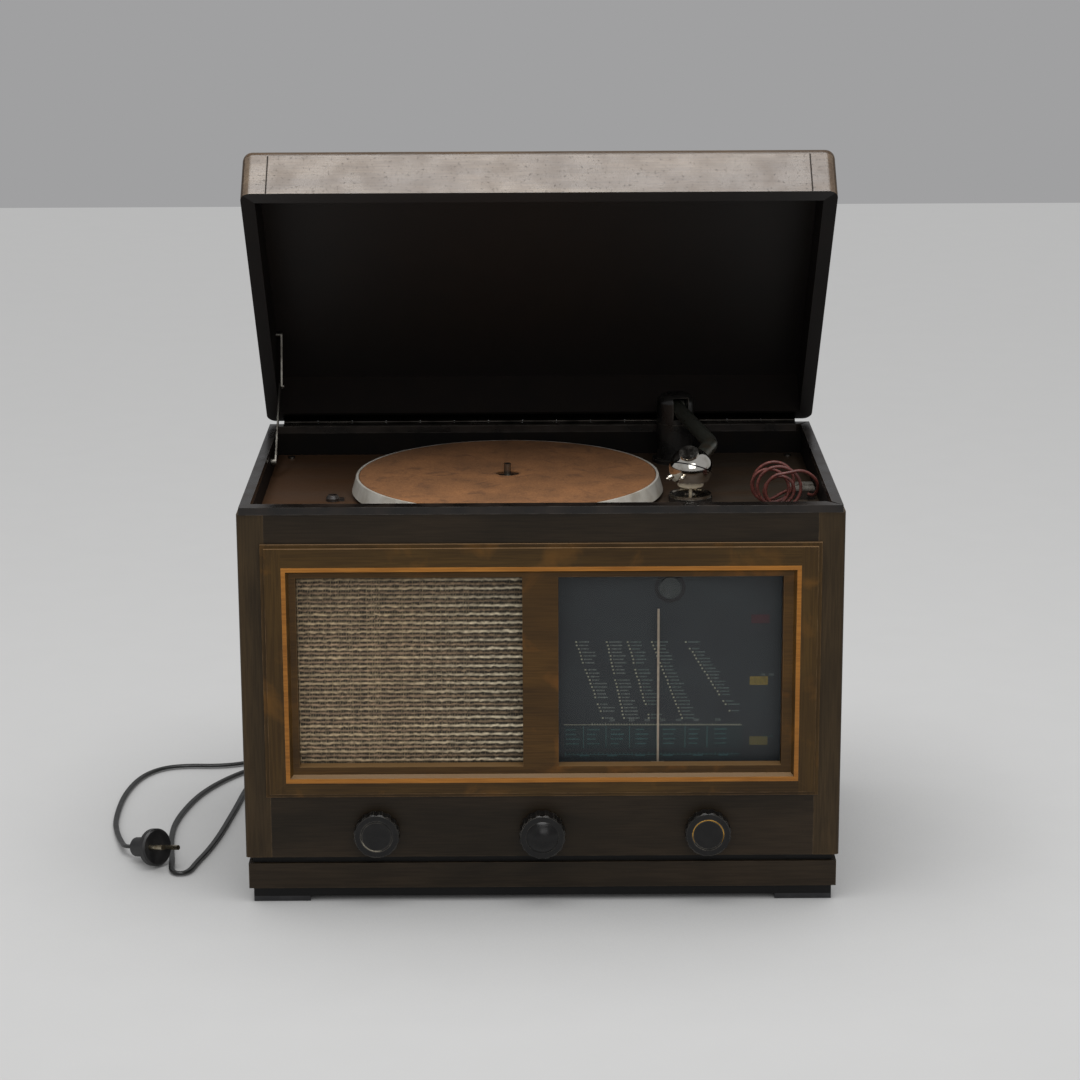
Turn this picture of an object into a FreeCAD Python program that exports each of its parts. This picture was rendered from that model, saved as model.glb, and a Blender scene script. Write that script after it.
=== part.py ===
"""Table radiogram: a wooden cabinet with receiver and loudspeaker below, a record deck under a hinged lid.

Millimetres. +Z is up and -Y is the front. The origin is on the floor, in the middle of the
object as it stands with its lid open.
"""
import FreeCAD, Part
import math
import os
import re

import Sketcher

SIZES = {
    # cabinet carcass, heights above the floor
    "cabinet_width": 555.0,
    "cabinet_depth": 351.0,
    "origin_setback": 186.0,
    "rim_height": 383.5,
    "side_thickness": 12.0,
    "front_thickness": 13.0,
    "back_thickness": 13.0,
    "bottom_thickness": 12.0,
    "deck_drop": 29.5,
    "deck_thickness": 12.0,
    "back_rail_height": 90.0,
    "lipping_height": 7.0,
    "lipping_inset": 2.5,
    "lipping_proud": 1.0,
    "cut_overrun": 2.0,
    # base
    "foot_height": 5.0,
    "foot_length": 53.0,
    "base_height": 46.0,
    "base_inset": 6.0,
    "base_rail_width": 20.0,
    "plinth_bottom": 14.4,
    "plinth_top": 39.0,
    "plinth_thickness": 4.0,
    # front frame and windows
    "post_width": 24.5,
    "post_round": 3.0,
    "aperture_bottom": 118.0,
    "aperture_drop": 48.5,
    "frame_margin": 20.9,
    "frame_bottom": 106.0,
    "frame_drop": 34.7,
    "frame_side_width": 19.0,
    "frame_low_width": 14.6,
    "frame_high_width": 21.2,
    "frame_proud": 5.0,
    "frame_step_width": 3.5,
    "frame_step_proud": 2.5,
    "bead_width": 3.9,
    "bead_proud": 5.6,
    "cove_width": 2.8,
    "cove_proud": 4.0,
    "surround_thickness": 12.5,
    "window_bottom": 134.3,
    "window_drop": 66.9,
    "grille_margin": 52.5,
    "dial_margin": 55.5,
    "mullion_left": 17.5,
    "mullion_right": 15.5,
    "pane_margin": 14.0,
    # loudspeaker
    "cloth_thickness": 1.5,
    "baffle_thickness": 10.0,
    "speaker_radius": 98.0,
    "speaker_sheet": 1.5,
    "cone_radius": 84.0,
    "cone_back_radius": 22.0,
    "cone_depth": 42.0,
    "basket_back_radius": 46.0,
    "basket_depth": 58.0,
    "basket_window_width": 52.0,
    "basket_window_start": 16.0,
    "basket_window_end": 44.0,
    "magnet_radius": 40.0,
    "magnet_length": 42.0,
    "cap_height": 9.0,
    # dial
    "glass_thickness": 3.0,
    "dial_gap": 10.0,
    "plate_thickness": 1.2,
    "pointer_rail_radius": 1.5,
    "pointer_rail_drop": 7.0,
    "pointer_rest": 108.3,
    "pointer_drop": 36.6,
    "pointer_width": 2.0,
    "pointer_thickness": 1.0,
    "carriage_width": 12.0,
    "carriage_height": 7.0,
    "carriage_depth": 6.0,
    "eye_place": 119.0,
    "eye_drop": 17.6,
    "eye_radius": 10.0,
    "eye_bulb_radius": 14.0,
    "eye_bulb_length": 62.0,
    # chassis and what stands on it
    "chassis_setback": 52.0,
    "chassis_margin": 45.5,
    "chassis_depth": 190.0,
    "chassis_height": 58.0,
    "chassis_sheet": 1.5,
    "transformer_width": 84.0,
    "transformer_depth": 72.0,
    "transformer_height": 80.0,
    "can_width": 34.0,
    "can_height": 76.0,
    "valve_base_radius": 17.0,
    "valve_base_height": 30.0,
    "valve_bulb_radius": 20.0,
    "valve_bulb_height": 54.0,
    # tuning capacitor and its drum
    "drum_radius": 47.7,
    "drum_thickness": 6.0,
    "drum_place": 112.0,
    "drum_height": 172.0,
    "drum_setback": 31.0,
    "gang_width": 66.0,
    "gang_length": 62.0,
    "gang_height": 88.0,
    "gang_plate": 3.0,
    "vane_radius": 27.0,
    "vane_thickness": 1.2,
    "vane_pitch": 9.0,
    "stator_reach": 29.0,
    "stator_clear": 6.0,
    # controls
    "knob_spacing": 154.3,
    "knob_height": 70.8,
    "knob_gap": 2.0,
    "knob_length": 12.0,
    "tuning_knob_length": 16.5,
    "knob_skirt_radius": 21.4,
    "knob_cap_radius": 20.2,
    "knob_edge": 1.2,
    "knob_bore_depth": 8.0,
    "knob_scallop_radius": 5.5,
    "knob_scallop_depth": 0.9,
    "knob_ring_radius": 13.7,
    "knob_ring_width": 1.4,
    "knob_ring_depth": 0.7,
    "dome_radius": 20.0,
    "dome_rise": 7.0,
    "shaft_radius": 3.0,
    "shaft_hole_radius": 5.0,
    "control_radius": 12.5,
    "control_length": 12.0,
    "pulley_radius": 12.0,
    # clearances
    "running_clearance": 0.06,
    "turning_gap": 0.3,
    # record deck
    "platter_place": -31.6,
    "platter_front_gap": 12.0,
    "platter_back_gap": 13.0,
    "platter_rise": 16.5,
    "platter_sheet": 4.0,
    "skirt_gap": 4.0,
    "platter_skirt": 2.5,
    "felt_inset": 6.7,
    "felt_thickness": 2.5,
    "rim_bead_width": 2.2,
    "rim_bead_height": 1.8,
    "hub_radius": 16.0,
    "hub_gap": 2.0,
    "spindle_radius": 3.5,
    "spindle_reach": 9.5,
    "washer_radius": 11.0,
    "washer_thickness": 0.8,
    "spindle_hole_radius": 8.0,
    "motor_radius": 52.0,
    "motor_length": 54.0,
    "motor_drop": 8.0,
    "motor_bearing_depth": 26.0,
    "pillar_radius": 6.0,
    "pillar_circle": 42.0,
    # tone arm
    "arm_offset": 17.9,
    "arm_inset": 47.0,
    "arm_flange_radius": 23.0,
    "arm_flange_thickness": 4.0,
    "arm_post_radius": 18.75,
    "turret_drop": 16.5,
    "arm_spigot_radius": 7.0,
    "arm_spigot_length": 3.0,
    "turret_rise": 13.0,
    "turret_round": 9.0,
    "turret_roof": 2.6,
    "arm_rise": 56.5,
    "arm_heading": 16.4,
    "arm_slope": 8.5,
    "arm_bend_lead": 59.0,
    "arm_bend_radius": 26.0,
    "arm_tube_radius": 7.3,
    "arm_tube_clearance": 0.7,
    "arm_pin_radius": 2.0,
    "neck_length": 5.0,
    "neck_radius": 8.6,
    "head_offset": 24.6,
    "head_setback": 137.0,
    "head_rise": 31.6,
    "head_radius": 20.6,
    "head_flat": 11.3,
    "seam_lean": 22.0,
    "seam_roll": 14.0,
    "seam_width": 1.0,
    "seam_depth": 0.9,
    "medallion_radius": 9.3,
    "medallion_proud": 0.8,
    "needle_screw_radius": 1.6,
    "needle_screw_ball": 2.7,
    "needle_screw_reach": 23.7,
    "needle_holder_radius": 2.6,
    "needle_holder_reach": 23.5,
    "needle_radius": 0.8,
    "needle_length": 2.4,
    # needle cup, rest and lever
    "cup_base_radius": 20.8,
    "cup_base_height": 5.0,
    "cup_radius": 20.0,
    "cup_height": 2.5,
    "cup_wall": 1.2,
    "cup_floor": 1.2,
    "cup_hole_radius": 6.2,
    "rest_radius": 12.6,
    "rest_thickness": 6.0,
    "rest_round": 2.4,
    "rest_post_radius": 1.6,
    "lever_offset": 16.9,
    "lever_setback": 143.0,
    "lever_radius": 6.5,
    "lever_height": 6.0,
    "lever_top_radius": 4.5,
    "lever_arm_length": 11.0,
    "lever_arm_width": 5.0,
    "lever_stem_radius": 2.5,
    "lever_stem_length": 8.0,
    # terminal block on the deck
    "block_margin": 27.5,
    "block_setback": 152.0,
    "block_width": 24.0,
    "block_depth": 28.0,
    "block_height": 11.0,
    # lid, hinge and stay
    "lid_setback": 2.4,
    "lid_height": 55.7,
    "lid_wall": 13.0,
    "lid_top": 9.0,
    "lid_round": 8.0,
    "lid_corner": 9.5,
    "lid_open_angle": 49.5,
    "hinge_margin": 17.0,
    "knuckle_radius": 1.6,
    "knuckle_gap": 0.3,
    "hinge_pin_radius": 0.8,
    "leaf_width": 11.0,
    "leaf_thickness": 1.0,
    "stay_stand_off": 5.5,
    "stay_foot_run": 108.2,
    "stay_drop": 14.4,
    "stay_lower_length": 94.5,
    "stay_lower_angle": 40.4,
    "stay_upper_run": 86.5,
    "stay_upper_rise": 43.1,
    "stay_width": 7.0,
    "stay_upper_width": 4.5,
    "stay_thickness": 1.6,
    "stay_layer_gap": 0.4,
    "stay_pin_radius": 2.0,
    "stay_pin_depth": 6.0,
    # back
    "back_cover_thickness": 4.0,
    "back_cover_setback": 4.0,
    "vent_length": 46.0,
    "vent_width": 6.0,
    "bush_margin": 77.5,
    "bush_height": 80.0,
    "bush_radius": 7.0,
    "bush_tip_radius": 4.6,
    "bush_length": 26.0,
    "bush_flange_radius": 10.0,
    "bush_flange_thickness": 2.5,
    "strip_margin": 127.5,
    "strip_height": 92.0,
    "strip_width": 84.0,
    "strip_tall": 22.0,
    "strip_thickness": 5.0,
    "socket_radius": 2.05,
    "socket_spacing": 19.0,
    # screws
    "screw_radius": 3.6,
    "screw_head": 1.6,
    "screw_inset": 14.0,
    # mains lead and plug
    "lead_radius": 2.8,
    "plug_radius": 18.2,
    "plug_disc": 8.5,
    "plug_chamfer": 1.6,
    "plug_grip_radius": 9.8,
    "plug_grip_back_radius": 9.4,
    "plug_grip_length": 23.0,
    "plug_tail_radius": 4.6,
    "plug_tail_front_radius": 6.2,
    "plug_tail_length": 3.0,
    "plug_roll": -15.0,
    "plug_pin_radius": 2.4,
    "plug_pin_length": 19.0,
    "plug_pin_spacing": 19.0,
    # pick-up lead on the deck
    "pickup_lead_radius": 1.5,
}

# Sizes that follow from others, in words of the sheet
WORKED_OUT = {
    "deck_height": "rim_height - deck_drop",
    "frame_half_width": "cabinet_width / 2 - frame_margin",
    "frame_top": "rim_height - frame_drop",
    "aperture_top": "rim_height - aperture_drop",
    "window_top": "rim_height - window_drop",
    "grille_reach": "cabinet_width / 2 - grille_margin",
    "dial_reach": "cabinet_width / 2 - dial_margin",
    "pointer_top": "window_top - pointer_drop",
    "eye_height": "window_top - eye_drop",
    "chassis_half_width": "cabinet_width / 2 - chassis_margin",
    "deck_depth": "cabinet_depth - front_thickness - back_thickness",
    "platter_radius": "(deck_depth - platter_front_gap - platter_back_gap) / 2",
    "platter_setback": "front_thickness + platter_front_gap + platter_radius",
    "platter_top": "deck_height + platter_rise",
    "platter_skirt_bottom": "deck_height + skirt_gap",
    "felt_radius": "platter_radius - felt_inset",
    "arm_place": "platter_place + platter_radius + arm_offset",
    "arm_setback": "cabinet_depth - arm_inset",
    "arm_axis_height": "deck_height + arm_rise",
    "arm_post_top": "arm_axis_height - turret_drop",
    "turret_top": "arm_axis_height + turret_rise",
    "arm_run": "arm_setback - head_setback - arm_bend_lead",
    "head_place": "platter_place + platter_radius + head_offset",
    "head_height": "deck_height + head_rise",
    "lever_place": "platter_place - platter_radius - lever_offset",
    "block_place": "cabinet_width / 2 - block_margin",
    "lid_depth": "cabinet_depth - lid_setback",
    "stay_place": "cabinet_width / 2 - side_thickness - stay_stand_off",
    "stay_setback": "cabinet_depth - stay_foot_run",
    "stay_height": "rim_height - stay_drop",
    "hinge_length": "cabinet_width - 2 * hinge_margin",
    "bush_place": "bush_margin - cabinet_width / 2",
    "strip_place": "cabinet_width / 2 - strip_margin",
}

KNUCKLES = 15
SCALLOPS = 16
VENTS = 11
VANES = 5
SOCKETS = 4
FULL_TURN = 360.0

# Shares of the chassis, from its left end and from its front, where things stand
TRANSFORMER_SHARES = (0.16, 0.62)
CAN_SHARES = ((0.36, 0.70), (0.52, 0.84))
VALVE_SHARES = ((0.42, 0.36), (0.62, 0.80), (0.88, 0.76), (0.74, 0.54))
# Shares of the height between bottom board and back rail where the two rows of vents lie
VENT_ROW_SHARES = (0.42, 0.80)
PILLAR_ANGLES = (30.0, 150.0, 270.0)

X = FreeCAD.Vector(1, 0, 0)
Y = FreeCAD.Vector(0, 1, 0)
UP = FreeCAD.Vector(0, 0, 1)

# Places that many pieces share, in words of the sheet
HALF = "(cabinet_width / 2)"
FRONT = "(0 - origin_setback)"
BACK = "(cabinet_depth - origin_setback)"
INSIDE = "(cabinet_width / 2 - side_thickness)"
WALL_TOP = "(rim_height - lipping_height)"
DECK_UNDER = "(deck_height - deck_thickness)"
BACK_RAIL_LOW = "(rim_height - lipping_height - back_rail_height)"
PANE_FRONT = f"({FRONT} + surround_thickness)"
BAFFLE_BACK = f"({PANE_FRONT} + cloth_thickness + baffle_thickness)"
GLASS_BACK = f"({PANE_FRONT} + glass_thickness)"
PLATE_FRONT = f"({GLASS_BACK} + dial_gap)"
CHASSIS_FRONT = f"({FRONT} + chassis_setback)"
CHASSIS_FLOOR = "(base_height + bottom_thickness)"
CHASSIS_TOP = f"({CHASSIS_FLOOR} + chassis_height)"
HINGE_REACH = "(knuckle_radius + running_clearance)"
HINGE_HEIGHT = f"(rim_height + {HINGE_REACH})"
PLATTER_Y = f"({FRONT} + platter_setback)"
ARM_Y = f"({FRONT} + arm_setback)"
HEAD_Y = f"({FRONT} + head_setback)"
BACK_COVER_OUT = f"({BACK} - back_cover_setback)"

document = FreeCAD.newDocument("radiogram")
sheet = document.addObject("Spreadsheet::Sheet", "sizes")
formulas = {alias: "=" + words for alias, words in WORKED_OUT.items()}
for row, (alias, entry) in enumerate((SIZES | formulas).items(), start=1):
    sheet.set(f"A{row}", alias)
    sheet.set(f"B{row}", str(entry))
    sheet.setAlias(f"B{row}", alias)
document.recompute()

ALIASES = re.compile(r"\b(" + "|".join([*SIZES, *WORKED_OUT]) + r")\b")
sub_parts = []


def size(alias):
    return float(sheet.get(alias))


def bind(item, path, text):
    item.setExpression(path, ALIASES.sub(r"sizes.\1", text))


def place(item, at, turn=FreeCAD.Rotation()):
    item.Placement = FreeCAD.Placement(FreeCAD.Vector(), turn)
    for letter, text in zip("xyz", at):
        bind(item, f".Placement.Base.{letter}", text)
    return item


def node(label, item):
    """Name a finished sub-part. Its label names its file."""
    item.Label = label
    sub_parts.append(item)
    return item


def box(name, across, along, up):
    """A block between three pairs of faces, each given low then high."""
    item = document.addObject("Part::Box", name)
    for side, (low, high) in zip(("Length", "Width", "Height"), (across, along, up)):
        bind(item, side, f"({high}) - ({low})")
    return place(item, (across[0], along[0], up[0]))


def rod(name, radius, length, at, towards=UP):
    item = document.addObject("Part::Cylinder", name)
    bind(item, "Radius", radius)
    bind(item, "Height", length)
    return place(item, at, FreeCAD.Rotation(UP, towards))


def ball(name, radius, at):
    item = document.addObject("Part::Sphere", name)
    bind(item, "Radius", radius)
    return place(item, at)


def joined(name, items):
    item = document.addObject("Part::MultiFuse", name)
    item.Shapes = list(items)
    return item


def cut(name, base, *cutters):
    item = document.addObject("Part::Cut", name)
    item.Base = base
    item.Tool = cutters[0] if len(cutters) == 1 else joined(name + "_cutters", cutters)
    return item


def several(name, items):
    """One sub-part of several loose solids, such as a set of screws."""
    item = document.addObject("Part::Compound", name)
    item.Links = list(items)
    return item


def shaped(name, shape):
    """A piece whose shape is worked out here from sizes read from the sheet."""
    item = document.addObject("Part::Feature", name)
    item.Shape = shape
    return item


def drawn(body, name, role, points):
    """A closed outline of straight lines through points, each written in words of the sheet."""
    sketch = body.newObject("Sketcher::SketchObject", name)
    plane = next(p for p in body.Origin.OriginFeatures if p.Role == role)
    sketch.AttachmentSupport = [(plane, "")]
    sketch.MapMode = "FlatFace"
    count = len(points)
    ring = [FreeCAD.Rotation(UP, FULL_TURN * i / count).multVec(X) for i in range(count)]
    for i in range(count):
        sketch.addGeometry(Part.LineSegment(ring[i], ring[(i + 1) % count]), False)
    for i, point in enumerate(points):
        sketch.addConstraint(Sketcher.Constraint("Coincident", i, 2, (i + 1) % count, 1))
        for kind, text, axis in zip(("DistanceX", "DistanceY"), point, (-2, -1)):
            if text == "0":
                sketch.addConstraint(Sketcher.Constraint("PointOnObject", i, 1, axis))
                continue
            index = sketch.addConstraint(Sketcher.Constraint(kind, -1, 1, i, 1, 1.0))
            bind(sketch, f"Constraints[{index}]", text)
    return sketch


def turned(name, outline, at, towards=UP):
    """A turned piece: outline holds (radius, height) pairs about its axis."""
    body = document.addObject("PartDesign::Body", name)
    sketch = drawn(body, name + "_outline", "XZ_Plane", outline)
    turning = body.newObject("PartDesign::Revolution", name + "_turning")
    turning.Profile = sketch
    turning.ReferenceAxis = (sketch, ["V_Axis"])
    turning.Angle = FULL_TURN
    body.Tip = turning
    return place(body, at, FreeCAD.Rotation(UP, towards))


def rounded(body, radius, chosen):
    """Round the chosen edges of a body."""
    document.recompute()
    base = body.Tip
    names = [f"Edge{n}" for n, edge in enumerate(base.Shape.Edges, 1) if chosen(edge)]
    fillet = body.newObject("PartDesign::Fillet", body.Name + "_rounding")
    fillet.Base = (base, names)
    bind(fillet, "Radius", radius)
    body.Tip = fillet
    return body


def mitred_frame(name, upright, across, along, widths, thick, thin=None, set_at="0"):
    """Four mitred rails round a rectangle: low, high, left and right.

    across is the frame's span in X, along its span in Z when upright and in Y when it lies flat.
    widths are those of the left, right, low and high rails. thick is each rail's span in depth at
    its outer edge, thin at its inner edge.
    """
    run = UP if upright else Y
    (left, right), (low, high) = across, along
    wide_left, wide_right, wide_low, wide_high = widths
    inner_across = (f"({left} + {wide_left})", f"({right} - {wide_right})")
    inner_along = (f"({low} + {wide_low})", f"({high} - {wide_high})")
    flip = lambda span: (f"-({span[1]})", f"-({span[0]})")
    edges = (
        ("low", X, run, low, across, inner_across, wide_low),
        ("high", -X, -run, high, flip(across), flip(inner_across), wide_high),
        ("left", -run, X, left, flip(along), flip(inner_along), wide_left),
        ("right", run, -X, right, along, inner_along, wide_right),
    )
    rails = []
    for edge, length_way, inward, start, outer, inner, wide in edges:
        rail = document.addObject("Part::Wedge", f"{name}_{edge}")
        spans = {"X": outer, "X2": inner, "Y": ("0", wide), "Z": thick, "Z2": thin or thick}
        for letters, (small, large) in spans.items():
            bind(rail, letters + "min", small)
            bind(rail, letters + "max", large)
        at = {"x": "0", "y": set_at if upright else "0", "z": "0" if upright else set_at}
        at["x" if abs(inward.x) > abs(inward.y + inward.z) else ("z" if upright else "y")] = start
        depth_way = length_way.cross(inward)
        rails.append(place(rail, at.values(), FreeCAD.Rotation(length_way, inward, depth_way, "ZXY")))
    return rails


def eased(name, item, radius, corner, inward, tall):
    """Round an upright outer edge. corner is its (x, y), inward the signs of the way into the piece."""
    spans = []
    middle = []
    for at, sign in zip(corner, inward):
        low, high = ("- cut_overrun", f"+ {radius}") if sign > 0 else (f"- {radius}", "+ cut_overrun")
        spans.append((f"{at} {low}", f"{at} {high}"))
        middle.append(f"{at} + {sign} * {radius}")
    block = box(f"{name}_corner", *spans, (f"{tall[0]} - cut_overrun", f"{tall[1]} + cut_overrun"))
    core = rod(f"{name}_core", radius, f"{tall[1]} - {tall[0]} + 4 * cut_overrun",
               (*middle, f"{tall[0]} - 2 * cut_overrun"))
    return cut(name, item, cut(f"{name}_waste", block, core))


def lid_pose():
    """How far the lid's pieces are turned about the hinge as the lid stands open."""
    return FreeCAD.Rotation(X, -size("lid_open_angle"))


def in_lid(item):
    """Pieces of the lid are drawn closed about the hinge line, then opened."""
    return place(item, ("0", BACK, HINGE_HEIGHT), lid_pose())


# Woodwork


def base():
    thick = ("foot_height", "base_height")
    outer = (f"-({HALF} - base_inset)", f"({HALF} - base_inset)")
    depth = (f"({FRONT} + base_inset)", f"({BACK} - base_inset)")
    rails = mitred_frame("base", False, outer, depth, ["base_rail_width"] * 4, thick)
    node("base_frame", several("base_frame", rails))
    feet = []
    for side, x in (("left", outer[0]), ("right", f"({outer[1]} - foot_length)")):
        for end, y in (("front", depth[0]), ("back", f"({depth[1]} - foot_length)")):
            spans = (x, f"{x} + foot_length"), (y, f"{y} + foot_length"), ("0", "foot_height")
            feet.append(box(f"foot_{side}_{end}", *spans))
    node("feet", several("feet", feet))
    skirt = (f"({outer[0]} - plinth_thickness)", f"({outer[1]} + plinth_thickness)")
    skirt_depth = (f"({depth[0]} - plinth_thickness)", f"({depth[1]} + plinth_thickness)")
    boards = mitred_frame("plinth_board", False, skirt, skirt_depth, ["plinth_thickness"] * 4,
                          ("plinth_bottom", "plinth_top"))
    node("plinth", several("plinth", boards))


def carcass():
    body_height = ("base_height", WALL_TOP)
    along = (f"{FRONT} + front_thickness", BACK)
    left = box("left_side_board", (f"-{HALF}", f"-{INSIDE}"), along, body_height)
    hole_at = (f"-{INSIDE} - stay_pin_depth", f"{FRONT} + stay_setback", "stay_height")
    hole = rod("left_side_hole", "stay_pin_radius + running_clearance",
               "stay_pin_depth + cut_overrun", hole_at, X)
    node("left_side_panel", cut("left_side_panel", left, hole))
    node("right_side_panel", box("right_side_panel", (INSIDE, HALF), along, body_height))
    front = (FRONT, f"{FRONT} + front_thickness")
    between = (f"-({HALF} - post_width)", f"({HALF} - post_width)")
    top_rail = box("front_top_rail", between, front, ("aperture_top", WALL_TOP))
    rail = box("knob_rail_board", between, front, ("base_height", "aperture_bottom"))
    holes = []
    for word, x in (("left", "-knob_spacing"), ("middle", "0"), ("right", "knob_spacing")):
        holes.append(rod(f"knob_rail_hole_{word}", "shaft_hole_radius",
                         "front_thickness + 2 * cut_overrun",
                         (x, f"{FRONT} - cut_overrun", "knob_height"), Y))
    node("front_rails", several("front_rails", [top_rail, cut("knob_rail", rail, *holes)]))
    posts = []
    for word, sign, span in (("left", 1, (f"-{HALF}", between[0])), ("right", -1, (between[1], HALF))):
        post = box(f"{word}_post_blank", span, front, body_height)
        corner = (f"{-sign} * {HALF}", FRONT)
        posts.append(eased(f"{word}_post", post, "post_round", corner, (sign, 1), body_height))
    node("corner_posts", several("corner_posts", posts))
    inside = (f"-{INSIDE}", INSIDE)
    floor = ("base_height", CHASSIS_FLOOR)
    behind = f"{FRONT} + front_thickness"
    node("bottom_board", box("bottom_board", inside, (behind, f"{BACK_COVER_OUT} - back_cover_thickness"),
                             floor))
    back = (f"{BACK} - back_thickness", BACK)
    node("back_rail", box("back_rail", inside, back, (BACK_RAIL_LOW, WALL_TOP)))
    deck = box("motor_board_sheet", inside, (behind, back[0]), (DECK_UNDER, "deck_height"))
    through = "deck_thickness + 2 * cut_overrun"
    below = f"{DECK_UNDER} - cut_overrun"
    spindle_hole = rod("spindle_hole", "spindle_hole_radius", through, ("platter_place", PLATTER_Y, below))
    lever_hole = rod("lever_hole", "lever_stem_radius + running_clearance", through,
                     ("lever_place", f"{FRONT} + lever_setback", below))
    node("motor_board", cut("motor_board", deck, spindle_hole, lever_hole))
    rim_across = (f"-({HALF} - lipping_inset)", f"({HALF} - lipping_inset)")
    rim_along = (f"({FRONT} - lipping_proud)", BACK)
    widths = ["side_thickness - lipping_inset"] * 2
    widths += ["lipping_proud + front_thickness", "back_thickness"]
    rim = mitred_frame("lipping", False, rim_across, rim_along, widths, (WALL_TOP, "rim_height"))
    node("rim_lipping", several("rim_lipping", rim))


def fascia():
    across = ("-frame_half_width", "frame_half_width")
    along = ("frame_bottom", "frame_top")
    widths = ["frame_side_width", "frame_side_width", "frame_low_width", "frame_high_width"]
    steps = mitred_frame("frame_step", True, across, along, widths, ("0", "frame_step_proud"), set_at=FRONT)
    inner = (f"({across[0]} + frame_step_width)", f"({across[1]} - frame_step_width)")
    inner_along = (f"({along[0]} + frame_step_width)", f"({along[1]} - frame_step_width)")
    less = [f"({wide} - frame_step_width)" for wide in widths]
    faces = mitred_frame("frame_face", True, inner, inner_along, less,
                         ("frame_step_proud", "frame_proud"), set_at=FRONT)
    rails = [joined(f"frame_rail_{n}", pair) for n, pair in enumerate(zip(steps, faces))]
    node("fascia_frame", several("fascia_frame", rails))
    bead = ("-frame_half_width + frame_side_width", "frame_half_width - frame_side_width")
    bead_along = ("frame_bottom + frame_low_width", "frame_top - frame_high_width")
    beads = mitred_frame("bead", True, bead, bead_along, ["bead_width"] * 4, ("0", "bead_proud"),
                         set_at=FRONT)
    node("inlay_bead", several("inlay_bead", beads))
    cove = (f"({bead[0]} + bead_width)", f"({bead[1]} - bead_width)")
    cove_along = (f"({bead_along[0]} + bead_width)", f"({bead_along[1]} - bead_width)")
    coves = mitred_frame("cove", True, cove, cove_along, ["cove_width"] * 4, ("0", "cove_proud"),
                         thin=("0", "0"), set_at=FRONT)
    depth = (FRONT, PANE_FRONT)
    edge = f"({HALF} - post_width)"
    tall = ("window_bottom", "window_top")
    rails = [box("surround_low", (f"-{edge}", edge), depth, ("aperture_bottom", "window_bottom")),
             box("surround_high", (f"-{edge}", edge), depth, ("window_top", "aperture_top")),
             box("surround_left", (f"-{edge}", "-grille_reach"), depth, tall),
             box("surround_right", ("dial_reach", edge), depth, tall),
             box("mullion", ("-mullion_left", "mullion_right"), depth, tall)]
    node("window_surround", several("window_surround", [*rails, *coves]))


def back():
    across = (f"-{INSIDE}", INSIDE)
    depth = (f"{BACK_COVER_OUT} - back_cover_thickness", BACK_COVER_OUT)
    sheet_board = box("back_sheet", across, depth, ("base_height", BACK_RAIL_LOW))
    through = (f"{depth[0]} - cut_overrun", f"{depth[1]} + cut_overrun")
    cutters = []
    rise = f"({BACK_RAIL_LOW} - {CHASSIS_FLOOR})"
    for row, row_share in enumerate(VENT_ROW_SHARES):
        middle = f"({CHASSIS_FLOOR} + {row_share} * {rise})"
        for n in range(VENTS):
            x = f"{INSIDE} * {(2 * n - VENTS + 1) / (VENTS + 1)}"
            cutters.append(box(f"vent_{row}_{n}", (f"{x} - vent_width / 2", f"{x} + vent_width / 2"),
                               through, (f"{middle} - vent_length / 2", f"{middle} + vent_length / 2")))
    length = "back_cover_thickness + 2 * cut_overrun"
    cutters.append(rod("bush_hole", "bush_radius", length, ("bush_place", through[0], "bush_height"), Y))
    for n in range(SOCKETS):
        x = f"strip_place + socket_spacing * {n - (SOCKETS - 1) / 2}"
        cutters.append(rod(f"strip_hole_{n}", "2 * socket_radius", length, (x, through[0], "strip_height"),
                           Y))
    node("back_cover", cut("back_cover", sheet_board, *cutters))
    strip = box("strip_board", ("strip_place - strip_width / 2", "strip_place + strip_width / 2"),
                (BACK_COVER_OUT, f"{BACK_COVER_OUT} + strip_thickness"),
                ("strip_height - strip_tall / 2", "strip_height + strip_tall / 2"))
    bores = []
    for n in range(SOCKETS):
        x = f"strip_place + socket_spacing * {n - (SOCKETS - 1) / 2}"
        bores.append(rod(f"socket_{n}", "socket_radius", "strip_thickness + 2 * cut_overrun",
                         (x, f"{BACK_COVER_OUT} - cut_overrun", "strip_height"), Y))
    node("socket_strip", cut("socket_strip", strip, *bores))
    flange_end = "bush_flange_thickness"
    outline = [("lead_radius", "-back_cover_thickness"), ("bush_radius", "-back_cover_thickness"),
               ("bush_radius", "0"), ("bush_flange_radius", "0"), ("bush_flange_radius", flange_end),
               ("bush_radius", flange_end), ("bush_tip_radius", "bush_length"),
               ("lead_radius", "bush_length")]
    node("cord_bush", turned("cord_bush", outline, ("bush_place", BACK_COVER_OUT, "bush_height"), Y))


# Loudspeaker and dial


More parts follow.
